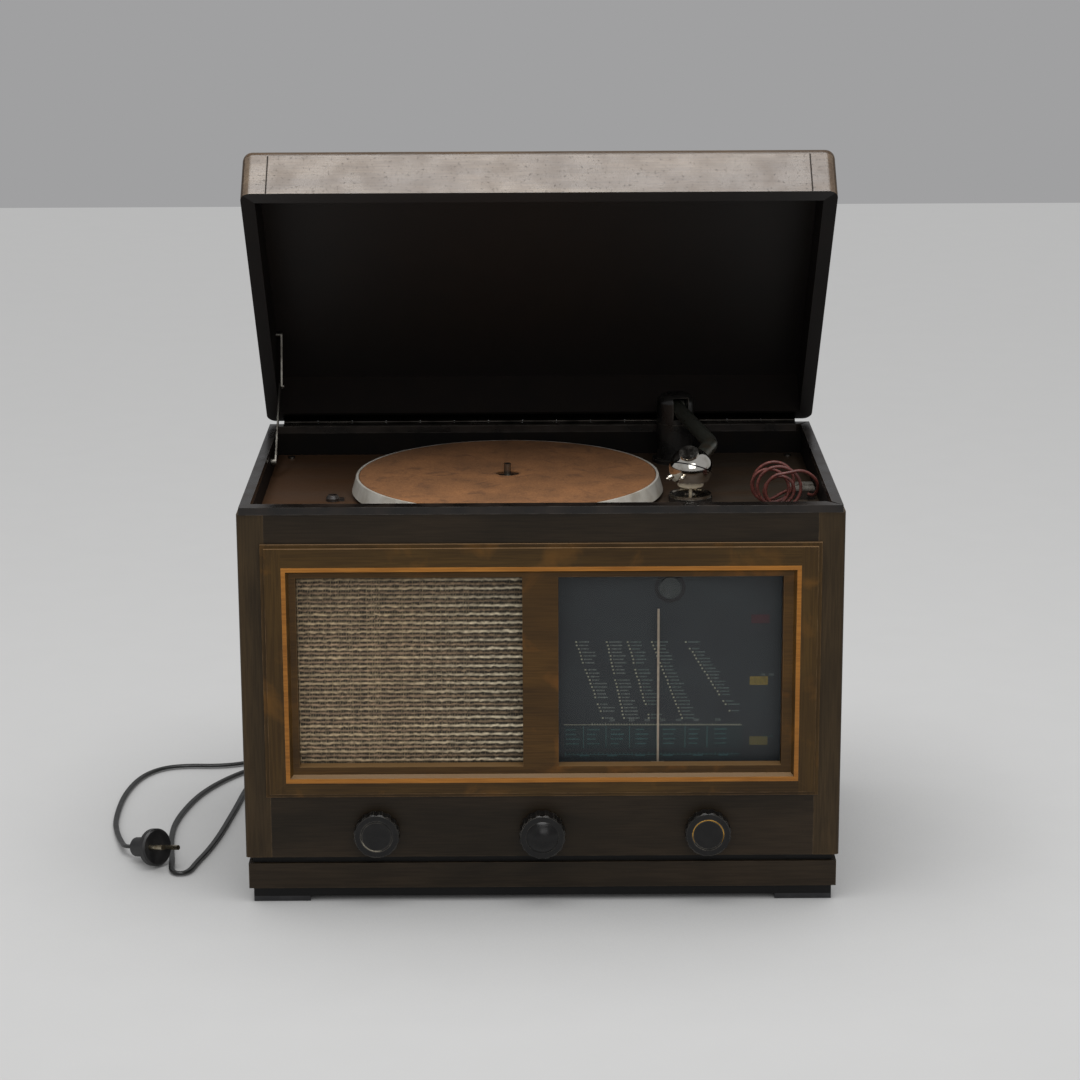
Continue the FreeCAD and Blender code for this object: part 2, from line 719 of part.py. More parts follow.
def loudspeaker():
    across = ("-grille_reach - pane_margin", "-mullion_left + pane_margin")
    tall = ("window_bottom - pane_margin", "window_top + pane_margin")
    cloth_back = f"({PANE_FRONT} + cloth_thickness)"
    node("grille_cloth", box("grille_cloth", across, (PANE_FRONT, cloth_back), tall))
    middle = ("-(grille_reach + mullion_left) / 2", "(window_bottom + window_top) / 2")
    board = box("baffle_board", across, (cloth_back, BAFFLE_BACK), tall)
    mouth = rod("baffle_mouth", "cone_radius", "baffle_thickness + 2 * cut_overrun",
                (middle[0], f"{cloth_back} - cut_overrun", middle[1]), Y)
    node("speaker_baffle", cut("speaker_baffle", board, mouth))
    seat = (middle[0], f"{BAFFLE_BACK} + speaker_sheet", middle[1])
    basket = turned("basket", [
        ("cone_radius", "0"), ("speaker_radius", "0"), ("speaker_radius", "speaker_sheet"),
        ("cone_radius + speaker_sheet", "speaker_sheet"),
        ("basket_back_radius + speaker_sheet", "basket_depth"),
        ("cone_back_radius", "basket_depth"), ("cone_back_radius", "basket_depth - speaker_sheet"),
        ("basket_back_radius", "basket_depth - speaker_sheet")], seat, Y)
    start = f"({seat[1]} + basket_window_start)"
    end = f"({seat[1]} + basket_window_end)"
    side = ("-basket_window_width / 2", "basket_window_width / 2")
    reach = ("-speaker_radius", "speaker_radius")
    level = box("basket_windows_level", [f"{middle[0]} + {r}" for r in reach], (start, end),
                [f"{middle[1]} + {s}" for s in side])
    upright = box("basket_windows_upright", [f"{middle[0]} + {s}" for s in side], (start, end),
                  [f"{middle[1]} + {r}" for r in reach])
    frame = cut("speaker_basket", basket, level, upright)
    cone = turned("speaker_cone", [
        ("0", "cone_depth - cap_height"), ("cone_back_radius - speaker_sheet", "cone_depth - speaker_sheet"),
        ("cone_radius - 2 * speaker_sheet", "-speaker_sheet"), ("speaker_radius", "-speaker_sheet"),
        ("speaker_radius", "0"), ("cone_radius - speaker_sheet", "0"),
        ("cone_back_radius - speaker_sheet", "cone_depth"),
        ("cone_back_radius - speaker_sheet", "basket_depth"),
        ("0", "basket_depth")], seat, Y)
    node("speaker_cone", cone)
    magnet = turned("speaker_magnet", [
        ("0", "basket_depth"), ("magnet_radius", "basket_depth"),
        ("magnet_radius", "basket_depth + magnet_length"), ("0", "basket_depth + magnet_length")], seat, Y)
    rounded(magnet, "speaker_sheet", lambda e: e.BoundBox.ZMin > size("basket_depth"))
    node("speaker_frame", several("speaker_frame", [frame, magnet]))


def dial():
    across = ("mullion_right - pane_margin", "dial_reach + pane_margin")
    tall = ("window_bottom - pane_margin", "window_top + pane_margin")
    node("dial_glass", box("dial_glass", across, (PANE_FRONT, GLASS_BACK), tall))
    plate = box("plate_sheet", across, (PLATE_FRONT, f"{PLATE_FRONT} + plate_thickness"), tall)
    flanges = [box("plate_left", (across[0], f"{across[0]} + plate_thickness"), (GLASS_BACK, PLATE_FRONT),
                   tall),
               box("plate_right", (f"{across[1]} - plate_thickness", across[1]), (GLASS_BACK, PLATE_FRONT),
                   tall)]
    eye_hole = rod("eye_hole", "eye_radius + turning_gap", "plate_thickness + 2 * cut_overrun",
                   ("eye_place", f"{PLATE_FRONT} - cut_overrun", "eye_height"), Y)
    tray = joined("plate_tray", [plate, *flanges])
    tray = cut("plate_pierced", tray, eye_hole)
    lip = "(plate_thickness + speaker_sheet)"
    bulb = turned("magic_eye", [
        ("0", f"-{lip}"), ("eye_radius", f"-{lip}"), ("eye_radius", "0"), ("eye_bulb_radius", "0"),
        ("eye_bulb_radius", "eye_bulb_length"), ("0", "eye_bulb_length")],
        ("eye_place", f"{PLATE_FRONT} + plate_thickness", "eye_height"), Y)
    node("magic_eye", bulb)
    rail_height = "(window_bottom - pointer_rail_drop)"
    rail_y = f"({GLASS_BACK} + dial_gap / 2)"
    start = f"({across[0]} + plate_thickness)"
    rail = rod("pointer_rail", "pointer_rail_radius", f"{across[1]} - {across[0]} - 2 * plate_thickness",
               (start, rail_y, rail_height), X)
    node("dial_plate", several("dial_plate", [tray, rail]))
    carriage = box("carriage", ("pointer_rest - carriage_width / 2", "pointer_rest + carriage_width / 2"),
                   (f"{rail_y} - carriage_depth / 2", f"{rail_y} + carriage_depth / 2"),
                   (f"{rail_height} - carriage_height / 2", f"{rail_height} + carriage_height / 2"))
    needle = box("pointer_needle", ("pointer_rest - pointer_width / 2", "pointer_rest + pointer_width / 2"),
                 (f"{rail_y} - pointer_thickness / 2", f"{rail_y} + pointer_thickness / 2"),
                 (rail_height, "pointer_top"))
    bore = rod("carriage_bore", "pointer_rail_radius + running_clearance",
               "carriage_width + 2 * cut_overrun",
               ("pointer_rest - carriage_width / 2 - cut_overrun", rail_y, rail_height), X)
    node("dial_pointer", cut("dial_pointer", joined("pointer_blank", [carriage, needle]), bore))


# Receiver


def on_chassis(shares):
    across, deep = shares
    return (f"(chassis_half_width * {2 * across - 1})", f"({CHASSIS_FRONT} + chassis_depth * {deep})")


def receiver():
    across = ("-chassis_half_width", "chassis_half_width")
    along = (CHASSIS_FRONT, f"{CHASSIS_FRONT} + chassis_depth")
    shell = box("chassis_blank", across, along, (CHASSIS_FLOOR, CHASSIS_TOP))
    hollow = box("chassis_hollow", (f"{across[0]} + chassis_sheet", f"{across[1]} - chassis_sheet"),
                 (f"{along[0]} + chassis_sheet", f"{along[1]} - chassis_sheet"),
                 (f"{CHASSIS_FLOOR} - cut_overrun", f"{CHASSIS_TOP} - chassis_sheet"))
    chassis_shell = cut("chassis_shell", shell, hollow)
    x, y = on_chassis(TRANSFORMER_SHARES)
    node("mains_transformer", box(
        "mains_transformer", (f"{x} - transformer_width / 2", f"{x} + transformer_width / 2"),
        (f"{y} - transformer_depth / 2", f"{y} + transformer_depth / 2"),
        (CHASSIS_TOP, f"{CHASSIS_TOP} + transformer_height")))
    cans = []
    for n, shares in enumerate(CAN_SHARES):
        x, y = on_chassis(shares)
        cans.append(box(f"can_{n}", (f"{x} - can_width / 2", f"{x} + can_width / 2"),
                        (f"{y} - can_width / 2", f"{y} + can_width / 2"),
                        (CHASSIS_TOP, f"{CHASSIS_TOP} + can_height")))
    node("screening_cans", several("screening_cans", cans))
    bases, bulbs = [], []
    for n, shares in enumerate(VALVE_SHARES):
        x, y = on_chassis(shares)
        bases.append(rod(f"valve_base_{n}", "valve_base_radius", "valve_base_height", (x, y, CHASSIS_TOP)))
        seat = f"({CHASSIS_TOP} + valve_base_height)"
        stem = rod(f"valve_stem_{n}", "valve_bulb_radius", "valve_bulb_height", (x, y, seat))
        dome = ball(f"valve_dome_{n}", "valve_bulb_radius", (x, y, f"{seat} + valve_bulb_height"))
        bulbs.append(joined(f"valve_bulb_{n}", [stem, dome]))
    node("valves", several("valves", [*bases, *bulbs]))
    return chassis_shell


def tuning_gang():
    """The two-plate frame with its fixed vanes, and the rotor with the drum that the dial cord turns."""
    drum_y = f"({FRONT} + drum_setback)"
    gang_front = f"({CHASSIS_FRONT} + gang_plate)"
    gang_back = f"({gang_front} + gang_length)"
    across = ("drum_place - gang_width / 2", "drum_place + gang_width / 2")
    tall = (CHASSIS_TOP, f"{CHASSIS_TOP} + gang_height")
    plates = [box("gang_front", across, (gang_front, f"{gang_front} + gang_plate"), tall),
              box("gang_back", across, (f"{gang_back} - gang_plate", gang_back), tall),
              box("gang_floor", across, (gang_front, gang_back),
                  (CHASSIS_TOP, f"{CHASSIS_TOP} + gang_plate"))]
    first = f"({gang_front} + 2 * gang_plate + vane_pitch / 2)"
    for n in range(VANES):
        y = f"({first} + {n} * vane_pitch)"
        plates.append(box(f"stator_{n}", ("drum_place + stator_clear", "drum_place + stator_reach"),
                          (y, f"{y} + vane_thickness"), tall))
    bore = rod("gang_bore", "shaft_radius + running_clearance", "gang_length + 2 * cut_overrun",
               ("drum_place", f"{gang_front} - cut_overrun", "drum_height"), Y)
    node("tuning_capacitor", cut("tuning_capacitor", joined("gang_blank", plates), bore))
    shaft = rod("gang_shaft", "shaft_radius", f"{gang_back} - {drum_y}",
                ("drum_place", drum_y, "drum_height"), Y)
    drum = rod("drum_disc", "drum_radius", "drum_thickness", ("drum_place", drum_y, "drum_height"), Y)
    pieces = [shaft, drum]
    for n in range(VANES):
        y = f"({first} + {n} * vane_pitch - vane_pitch / 2)"
        disc = rod(f"vane_disc_{n}", "vane_radius", "vane_thickness", ("drum_place", y, "drum_height"), Y)
        half = box(f"vane_half_{n}", ("drum_place - vane_radius - cut_overrun", "drum_place"),
                   (f"{y} - cut_overrun", f"{y} + vane_thickness + cut_overrun"),
                   ("drum_height - vane_radius - cut_overrun", "drum_height + vane_radius + cut_overrun"))
        pieces.append(cut(f"vane_{n}", disc, half))
    node("tuning_rotor", joined("tuning_rotor", pieces))


def knob(label, x, domed):
    """A moulded knob with a scalloped edge. The front face is flat with a ring groove, or domed."""
    back_at = (x, f"{FRONT} - knob_gap", "knob_height")
    length = "tuning_knob_length" if domed else "knob_length"
    ring_edge = "knob_ring_radius + knob_ring_width"
    ring_floor = f"{length} - knob_ring_depth"
    groove = [] if domed else [(ring_edge, length), (ring_edge, ring_floor),
                               ("knob_ring_radius", ring_floor), ("knob_ring_radius", length)]
    bore = "shaft_radius + running_clearance"
    blank = turned(label + "_blank", [
        (bore, "0"), ("knob_skirt_radius", "0"), ("knob_skirt_radius", f"{length} - knob_edge"),
        ("knob_cap_radius", length), *groove, ("0", length),
        ("0", "knob_bore_depth"), (bore, "knob_bore_depth")], back_at, -Y)
    flutes = []
    reach = "(knob_skirt_radius + knob_scallop_radius - knob_scallop_depth)"
    for n in range(SCALLOPS):
        turn = FULL_TURN * n / SCALLOPS
        at = (f"{x} + {reach} * cos({turn} deg)", f"{back_at[1]} + cut_overrun",
              f"knob_height + {reach} * sin({turn} deg)")
        flutes.append(rod(f"{label}_flute_{n}", "knob_scallop_radius", f"{length} + 2 * cut_overrun", at,
                          -Y))
    item = cut(label + "_fluted", blank, *flutes)
    if domed:
        face = f"({back_at[1]} - {length})"
        dome = ball(label + "_dome", "dome_radius", (x, f"{face} + dome_radius - dome_rise", "knob_height"))
        behind = box(label + "_dome_back", (f"{x} - knob_skirt_radius", f"{x} + knob_skirt_radius"),
                     (face, f"{face} + 2 * dome_radius"),
                     ("knob_height - knob_skirt_radius", "knob_height + knob_skirt_radius"))
        item = joined(label + "_domed", [item, cut(label + "_cap", dome, behind)])
    return item


def controls(chassis_shell):
    """Three knobs on shafts that run to the controls on the chassis."""
    rows = (("volume", "-knob_spacing", False), ("tuning", "0", True), ("tone", "knob_spacing", False))
    bodies = []
    for word, x, domed in rows:
        moulding = knob(f"{word}_knob", x, domed)
        tip = f"({FRONT} - knob_gap - knob_bore_depth + turning_gap)"
        end = f"({CHASSIS_FRONT} - turning_gap)"
        shaft = rod(f"{word}_spindle", "shaft_radius", f"{end} - {tip}", (x, tip, "knob_height"), Y)
        if word == "tuning":
            pulley = rod("tuning_pulley", "pulley_radius", "drum_thickness",
                         (x, f"{FRONT} + drum_setback", "knob_height"), Y)
            shaft = joined("tuning_shaft_blank", [shaft, pulley])
        node(f"{word}_knob", several(f"{word}_knob", [moulding, shaft]))
        can = rod(f"{word}_can", "control_radius", "control_length",
                  (x, f"{CHASSIS_FRONT} - control_length", "knob_height"), Y)
        bore = rod(f"{word}_bore", "shaft_radius + running_clearance", "control_length + cut_overrun",
                   (x, f"{CHASSIS_FRONT} - control_length - cut_overrun", "knob_height"), Y)
        bodies.append(cut(f"{word}_control", can, bore))
    node("chassis", several("chassis", [chassis_shell, *bodies]))


# Record deck


def turntable():
    at = ("platter_place", PLATTER_Y, "0")
    bore = "spindle_radius + running_clearance"
    under = "(platter_top - platter_sheet)"
    edge = "(felt_radius + turning_gap)"
    platter = turned("platter", [
        (bore, "platter_top"), (edge, "platter_top"), (edge, "platter_top + rim_bead_height"),
        (f"{edge} + rim_bead_width", "platter_top + rim_bead_height"),
        ("platter_radius", "platter_skirt_bottom"),
        ("platter_radius - platter_skirt", "platter_skirt_bottom"),
        (f"{edge} - platter_skirt", under), ("hub_radius", under), ("hub_radius", "deck_height + hub_gap"),
        (bore, "deck_height + hub_gap")], at)
    node("platter", platter)
    felt_top = "(platter_top + felt_thickness)"
    hole = "(washer_radius + turning_gap)"
    node("felt_mat", turned("felt_mat", [
        (hole, "platter_top"), ("felt_radius", "platter_top"), ("felt_radius", felt_top),
        (hole, felt_top)], at))
    washer_top = "(platter_top + washer_thickness)"
    foot = f"({DECK_UNDER} - motor_drop - motor_bearing_depth + turning_gap)"
    node("spindle", turned("spindle", [
        ("0", foot), ("spindle_radius", foot), ("spindle_radius", "platter_top"),
        ("washer_radius", "platter_top"),
        ("washer_radius", washer_top), ("spindle_radius", washer_top),
        ("spindle_radius", f"{felt_top} + spindle_reach"), ("0", f"{felt_top} + spindle_reach")], at))
    top = f"({DECK_UNDER} - motor_drop)"
    case = turned("motor_case", [
        ("0", f"{top} - motor_length"), ("motor_radius", f"{top} - motor_length"), ("motor_radius", top),
        (bore, top), (bore, f"{top} - motor_bearing_depth"), ("0", f"{top} - motor_bearing_depth")], at)
    pillars = []
    for n, angle in enumerate(PILLAR_ANGLES):
        spot = (f"platter_place + pillar_circle * cos({angle} deg)",
                f"{PLATTER_Y} + pillar_circle * sin({angle} deg)")
        pillars.append(rod(f"pillar_{n}", "pillar_radius", "motor_drop", (*spot, top)))
    node("motor", joined("motor", [case, *pillars]))


def deck_fittings():
    cup_at = ("head_place", HEAD_Y, "deck_height")
    rise = "cup_base_height"
    foot = turned("needle_cup_base", [
        ("0", "0"), ("cup_base_radius", "0"), ("cup_base_radius", rise), ("0", rise)], cup_at)
    lip = f"({rise} + cup_height)"
    dish = turned("needle_dish", [
        ("cup_hole_radius", rise), ("cup_radius", rise), ("cup_radius", lip), ("cup_radius - cup_wall", lip),
        ("cup_radius - 2 * cup_wall", f"{rise} + cup_floor"),
        ("cup_hole_radius", f"{rise} + cup_floor")], cup_at)
    node("needle_cup", several("needle_cup", [foot, dish]))
    crown = "(head_height - head_flat - turning_gap - deck_height)"
    rest = turned("arm_rest", [
        ("0", rise), ("rest_post_radius", rise), ("rest_post_radius", f"{crown} - rest_thickness"),
        ("rest_radius", f"{crown} - rest_thickness"), ("rest_radius", crown), ("0", crown)], cup_at)
    node("arm_rest", rounded(rest, "rest_round", lambda e: e.BoundBox.XLength > 2 * size("rest_post_radius")
                             + size("cut_overrun")))
    lever_at = ("lever_place", f"{FRONT} + lever_setback", "deck_height")
    knob_piece = turned("lever_knob", [
        ("0", "-lever_stem_length"), ("lever_stem_radius", "-lever_stem_length"),
        ("lever_stem_radius", "turning_gap"), ("lever_radius", "turning_gap"),
        ("lever_radius", "lever_height / 2"), ("lever_top_radius", "lever_height"),
        ("0", "lever_height")], lever_at)
    tongue = box("lever_tongue", (lever_at[0], f"{lever_at[0]} + lever_arm_length"),
                 (f"{lever_at[1]} - lever_arm_width / 2", f"{lever_at[1]} + lever_arm_width / 2"),
                 ("deck_height + turning_gap", "deck_height + lever_height / 2"))
    node("speed_lever", joined("speed_lever", [knob_piece, tongue]))
    block_y = f"({FRONT} + block_setback)"
    block = box("block_body", ("block_place - block_width / 2", "block_place + block_width / 2"),
                (f"{block_y} - block_depth / 2", f"{block_y} + block_depth / 2"),
                ("deck_height", "deck_height + block_height"))
    heads = []
    for n, sign in enumerate((-1, 1)):
        heads.append(rod(f"terminal_{n}", "screw_radius", "screw_head",
                         (f"block_place + {sign} * block_width / 4", block_y, "deck_height + block_height")))
    node("terminal_block", joined("terminal_block", [block, *heads]))


def arm_pivot():
    return FreeCAD.Vector(size("arm_place"), size("arm_setback") - size("origin_setback"),
                          size("arm_axis_height"))


def head_centre():
    return FreeCAD.Vector(size("head_place"), size("head_setback") - size("origin_setback"),
                          size("head_height"))


def arm_way():
    """The direction in which the tube leaves the post, level and with its slope."""
    level = FreeCAD.Rotation(UP, size("arm_heading")).multVec(-Y)
    side = level.cross(UP)
    return level, FreeCAD.Rotation(side, -size("arm_slope")).multVec(level)


def tube_along(points, radii, tube_radius, label=None):
    """A round tube of straight runs joined by tangent arcs. radii gives one radius for each corner."""
    edges, start = [], points[0]
    for before, corner, after, radius in zip(points, points[1:], points[2:], radii):
        back_way = (before - corner).normalize()
        on_way = (after - corner).normalize()
        half_turn = (math.pi - back_way.getAngle(on_way)) / 2
        leg = radius * math.tan(half_turn)
        enter, leave = corner + back_way * leg, corner + on_way * leg
        bisector = (back_way + on_way).normalize()
        crest = corner + bisector * (radius / math.cos(half_turn) - radius)
        edges += [Part.LineSegment(start, enter).toShape(), Part.Arc(enter, crest, leave).toShape()]
        start = leave
    edges.append(Part.LineSegment(start, points[-1]).toShape())
    spine = Part.Wire(edges)
    ring = Part.Wire(Part.makeCircle(tube_radius, points[0], points[1] - points[0]))
    tube = spine.makePipeShell([ring], True, False)
    if label:
        expected = math.pi * tube_radius ** 2 * spine.Length
        print(f"{label}: length {spine.Length:.1f},"
              f" volume {tube.Volume / expected:.4f} of section times length,"
              f" least radius {min(radii):.1f}")
    return tube


def corner_radii(points, share=0.45):
    """The largest radius that each corner's two runs leave room for."""
    found = []
    for before, corner, after in zip(points, points[1:], points[2:]):
        first, second = corner - before, after - corner
        found.append(share * min(first.Length, second.Length) / math.tan(first.getAngle(second) / 2))
    return found


def tone_arm():
    pivot_at = ("arm_place", ARM_Y, "0")
    node("arm_base", turned("arm_base", [
        ("0", "deck_height"), ("arm_flange_radius", "deck_height"),
        ("arm_flange_radius", "deck_height + arm_flange_thickness"),
        ("arm_post_radius", "deck_height + arm_flange_thickness"), ("arm_post_radius", "arm_post_top"),
        ("arm_spigot_radius", "arm_post_top"), ("arm_spigot_radius", "arm_post_top + arm_spigot_length"),
        ("0", "arm_post_top + arm_spigot_length")], pivot_at))
    bore = "arm_spigot_radius + running_clearance"
    low = "(arm_post_top + turning_gap)"
    ceiling = "(arm_post_top + arm_spigot_length + turning_gap)"
    blank = turned("turret_blank", [
        (bore, low), ("arm_post_radius", low), ("arm_post_radius", "turret_top"), ("0", "turret_top"),
        ("0", ceiling), (bore, ceiling)], pivot_at)
    top = size("turret_top")
    rounded(blank, "turret_round", lambda e: e.BoundBox.ZMin > top - size("turret_roof"))
    pivot = arm_pivot()
    level, slope = arm_way()
    side = level.cross(UP)
    half = size("arm_tube_radius") + size("arm_tube_clearance")
    reach = size("arm_post_radius") + size("cut_overrun")
    slot_low = pivot.z - half - reach * math.tan(math.radians(size("arm_slope")))
    slot_high = top - size("turret_roof")
    slot = Part.makeBox(2 * half, reach + half, slot_high - slot_low)
    corner = pivot - side * half - level * half
    slot.Placement = FreeCAD.Placement(FreeCAD.Vector(corner.x, corner.y, slot_low),
                                       FreeCAD.Rotation(side, level, UP, "ZXY"))
    pin_length = 2 * (half + size("stay_pin_depth"))
    pin = Part.makeCylinder(size("arm_pin_radius"), pin_length, pivot - side * (pin_length / 2), side)
    turret = cut("turret_cap", blank, shaped("turret_slot", slot), shaped("turret_pin_hole", pin))
    node("arm_turret", several("arm_turret", [turret, shaped("arm_pivot_pin", pin)]))
    tube_radius = size("arm_tube_radius")
    bend = pivot + slope * size("arm_run")
    head = head_centre()
    neck_way = (head - bend).normalize()
    neck = head - neck_way * (size("head_radius") + size("neck_length") / 2)
    tube = tube_along([pivot, bend, neck], [size("arm_bend_radius")], tube_radius)
    eye = Part.makeCylinder(tube_radius, 2 * tube_radius, pivot - side * tube_radius, side)
    hole = Part.makeCylinder(size("arm_pin_radius") + size("running_clearance"), pin_length,
                             pivot - side * (pin_length / 2), side)
    collar = pickup(head, neck_way)
    node("arm_tube", shaped("arm_tube", Part.makeCompound([tube.fuse(eye).cut(hole), collar])))


def pickup(head, neck_way):
    """A round head in two shells with a seam, a collar to the tube, a needle screw and a needle."""
    radius = size("head_radius")
    sphere = Part.makeSphere(radius, head)
    floor_z = head.z - size("head_flat")
    below = Part.makeBox(4 * radius, 4 * radius, 2 * radius,
                         FreeCAD.Vector(head.x - 2 * radius, head.y - 2 * radius, floor_z - 2 * radius))
    lean = FreeCAD.Rotation(X, -size("seam_lean"))
    normal = FreeCAD.Rotation(Y, size("seam_roll")).multVec(lean.multVec(UP))
    seam = Part.makeCylinder(2 * radius, size("seam_width"), head - normal * (size("seam_width") / 2),
                             normal)
    core = Part.makeCylinder(radius - size("seam_depth"), size("seam_width"),
                             head - normal * (size("seam_width") / 2), normal)
    ball_shape = sphere.cut(below).cut(seam.cut(core))
    upper_space = Part.makeCylinder(2 * radius, 2 * radius, head, normal)
    face_way = FreeCAD.Vector(-0.12, -0.51, 0.85).normalize()
    medal = Part.makeCylinder(size("medallion_radius"), radius + size("medallion_proud"), head, face_way)
    neck_length = size("neck_length")
    collar = Part.makeCylinder(size("neck_radius"), neck_length,
                               head - neck_way * (radius + neck_length / 2), neck_way)
    foot = radius - neck_length / 2 + size("seam_depth")
    shank = Part.makeCylinder(size("neck_radius"), foot, head - neck_way * foot, neck_way)
    tube_end = Part.makeCylinder(2 * radius, radius, head - neck_way * (2 * radius + neck_length / 2),
                                 neck_way)
    collar = collar.fuse(shank).cut(tube_end)
    screw_way = FreeCAD.Vector(-0.39, -0.89, -0.20).normalize()
    screw = Part.makeCylinder(size("needle_screw_radius"), size("needle_screw_reach"), head, screw_way)
    needle_way = FreeCAD.Vector(-0.90, -0.30, -0.32).normalize()
    holder = Part.makeCylinder(size("needle_holder_radius"), size("needle_holder_reach"), head, needle_way)
    cover = ball_shape.common(upper_space).fuse(medal.common(upper_space)).cut(collar)
    shell = ball_shape.cut(upper_space).fuse(medal.cut(upper_space).common(sphere))
    shell = shell.cut(collar).cut(screw).cut(holder)
    halves = [cover.cut(screw).cut(holder).removeSplitter(), shell.removeSplitter()]
    node("pickup_head", shaped("pickup_head", Part.makeCompound(halves)))
    tip = head + needle_way * size("needle_holder_reach")
    needle = Part.makeCylinder(size("needle_radius"), size("needle_length"), tip, needle_way)
    knob_ball = Part.makeSphere(size("needle_screw_ball"), head + screw_way * size("needle_screw_reach"))
    outside = radius - size("needle_length")
    core = Part.makeSphere(outside, head)
    pieces = [screw.fuse(knob_ball).cut(core), holder.fuse(needle).cut(core)]
    node("needle_holder", shaped("needle_holder", Part.makeCompound(pieces)))
    return collar


# Lid, hinge and stay


def lid():
    across = (f"-{HALF}", HALF)
    along = ("-lid_depth", "0")
    low = HINGE_REACH
    seat = f"({HINGE_REACH} + lid_height - lid_top)"
    body = document.addObject("PartDesign::Body", "lid_board")
    outline = [(x, y) for x, y in ((across[0], along[0]), (across[1], along[0]), (across[1], "0"),
                                   (across[0], "0"))]
    pad = body.newObject("PartDesign::Pad", "lid_board_pad")
    pad.Profile = drawn(body, "lid_board_outline", "XY_Plane", outline)
    bind(pad, "Length", "lid_top")
    body.Tip = pad
    rounded(body, "lid_corner", lambda e: e.BoundBox.ZLength > size("lid_top") / 2)
    rounded(body, "lid_round", lambda e: e.BoundBox.ZMin > size("lid_top") / 2)
    place(body, ("0", "0", seat))
    node("lid_top", in_lid(several("lid_top", [body])))
    walls = mitred_frame("lid_wall", False, across, along, ["lid_wall"] * 4, (low, seat))
    pin_hole = rod("lid_pin_hole", "stay_pin_radius + running_clearance", "stay_pin_depth + cut_overrun",
                   (f"-{HALF} + lid_wall - stay_pin_depth", "-stay_upper_run",
                    f"{HINGE_REACH} + stay_upper_rise"), X)
    walls[2] = cut("lid_wall_left_bored", walls[2], pin_hole)
    corners = {"front_left": (0, 2, across[0], along[0], 1, 1),
               "front_right": (0, 3, across[1], along[0], -1, 1),
               "back_left": (1, 2, across[0], along[1], 1, -1),
               "back_right": (1, 3, across[1], along[1], -1, -1)}
    for word, (first, second, x, y, across_way, along_way) in corners.items():
        for n in (first, second):
            walls[n] = eased(f"lid_wall_{n}_{word}", walls[n], "lid_corner", (x, y),
                             (across_way, along_way), (low, seat))
    node("lid_front", in_lid(several("lid_front", walls[:1])))
    node("lid_frame", in_lid(several("lid_frame", walls[1:])))


def hinge_leaf(name, first, plate_low):
    """A leaf of the long hinge with every other knuckle, drawn about the hinge line."""
    plate_high = f"({plate_low} + leaf_thickness)"
    half = "hinge_length / 2"
    inner = "-knuckle_radius - knuckle_gap"
    pieces = [box(f"{name}_plate", (f"-{half}", half), ("-leaf_width", inner), (plate_low, plate_high))]
    for n in range(first, KNUCKLES, 2):
        x = f"(hinge_length * {n / KNUCKLES - 1 / 2} + knuckle_gap / 2)"
        long = f"(hinge_length / {KNUCKLES} - knuckle_gap)"
        pieces.append(box(f"{name}_tab_{n}", (x, f"{x} + {long}"), (inner, "0"), (plate_low, plate_high)))
        pieces.append(rod(f"{name}_knuckle_{n}", "knuckle_radius", long, (x, "0", "0"), X))
    bore = rod(f"{name}_bore", "hinge_pin_radius + running_clearance", "hinge_length + 2 * cut_overrun",
               (f"-{half} - cut_overrun", "0", "0"), X)
    return cut(name, joined(f"{name}_blank", pieces), bore)


def hinge():
    fixed = hinge_leaf("hinge_fixed_leaf", 0, f"-{HINGE_REACH}")
    place(fixed, ("0", BACK, HINGE_HEIGHT))
    moving = hinge_leaf("hinge_lid_leaf", 1, f"({HINGE_REACH} - leaf_thickness)")
    node("hinge_lid_leaf", in_lid(moving))
    pin = rod("hinge_pin", "hinge_pin_radius", "hinge_length", ("-hinge_length / 2", BACK, HINGE_HEIGHT), X)
    node("hinge_cabinet_leaf", several("hinge_cabinet_leaf", [fixed, pin]))


def stay_arm(length, width, thickness):
    """A flat arm from a pivot at the origin along +Y, with round ends, its inner face at x = 0."""
    half = width / 2
    strap = Part.makeBox(thickness, length, width, FreeCAD.Vector(0, 0, -half))
    ends = [Part.makeCylinder(half, thickness, FreeCAD.Vector(0, y, 0), X) for y in (0, length)]
    return strap.multiFuse(ends).removeSplitter()


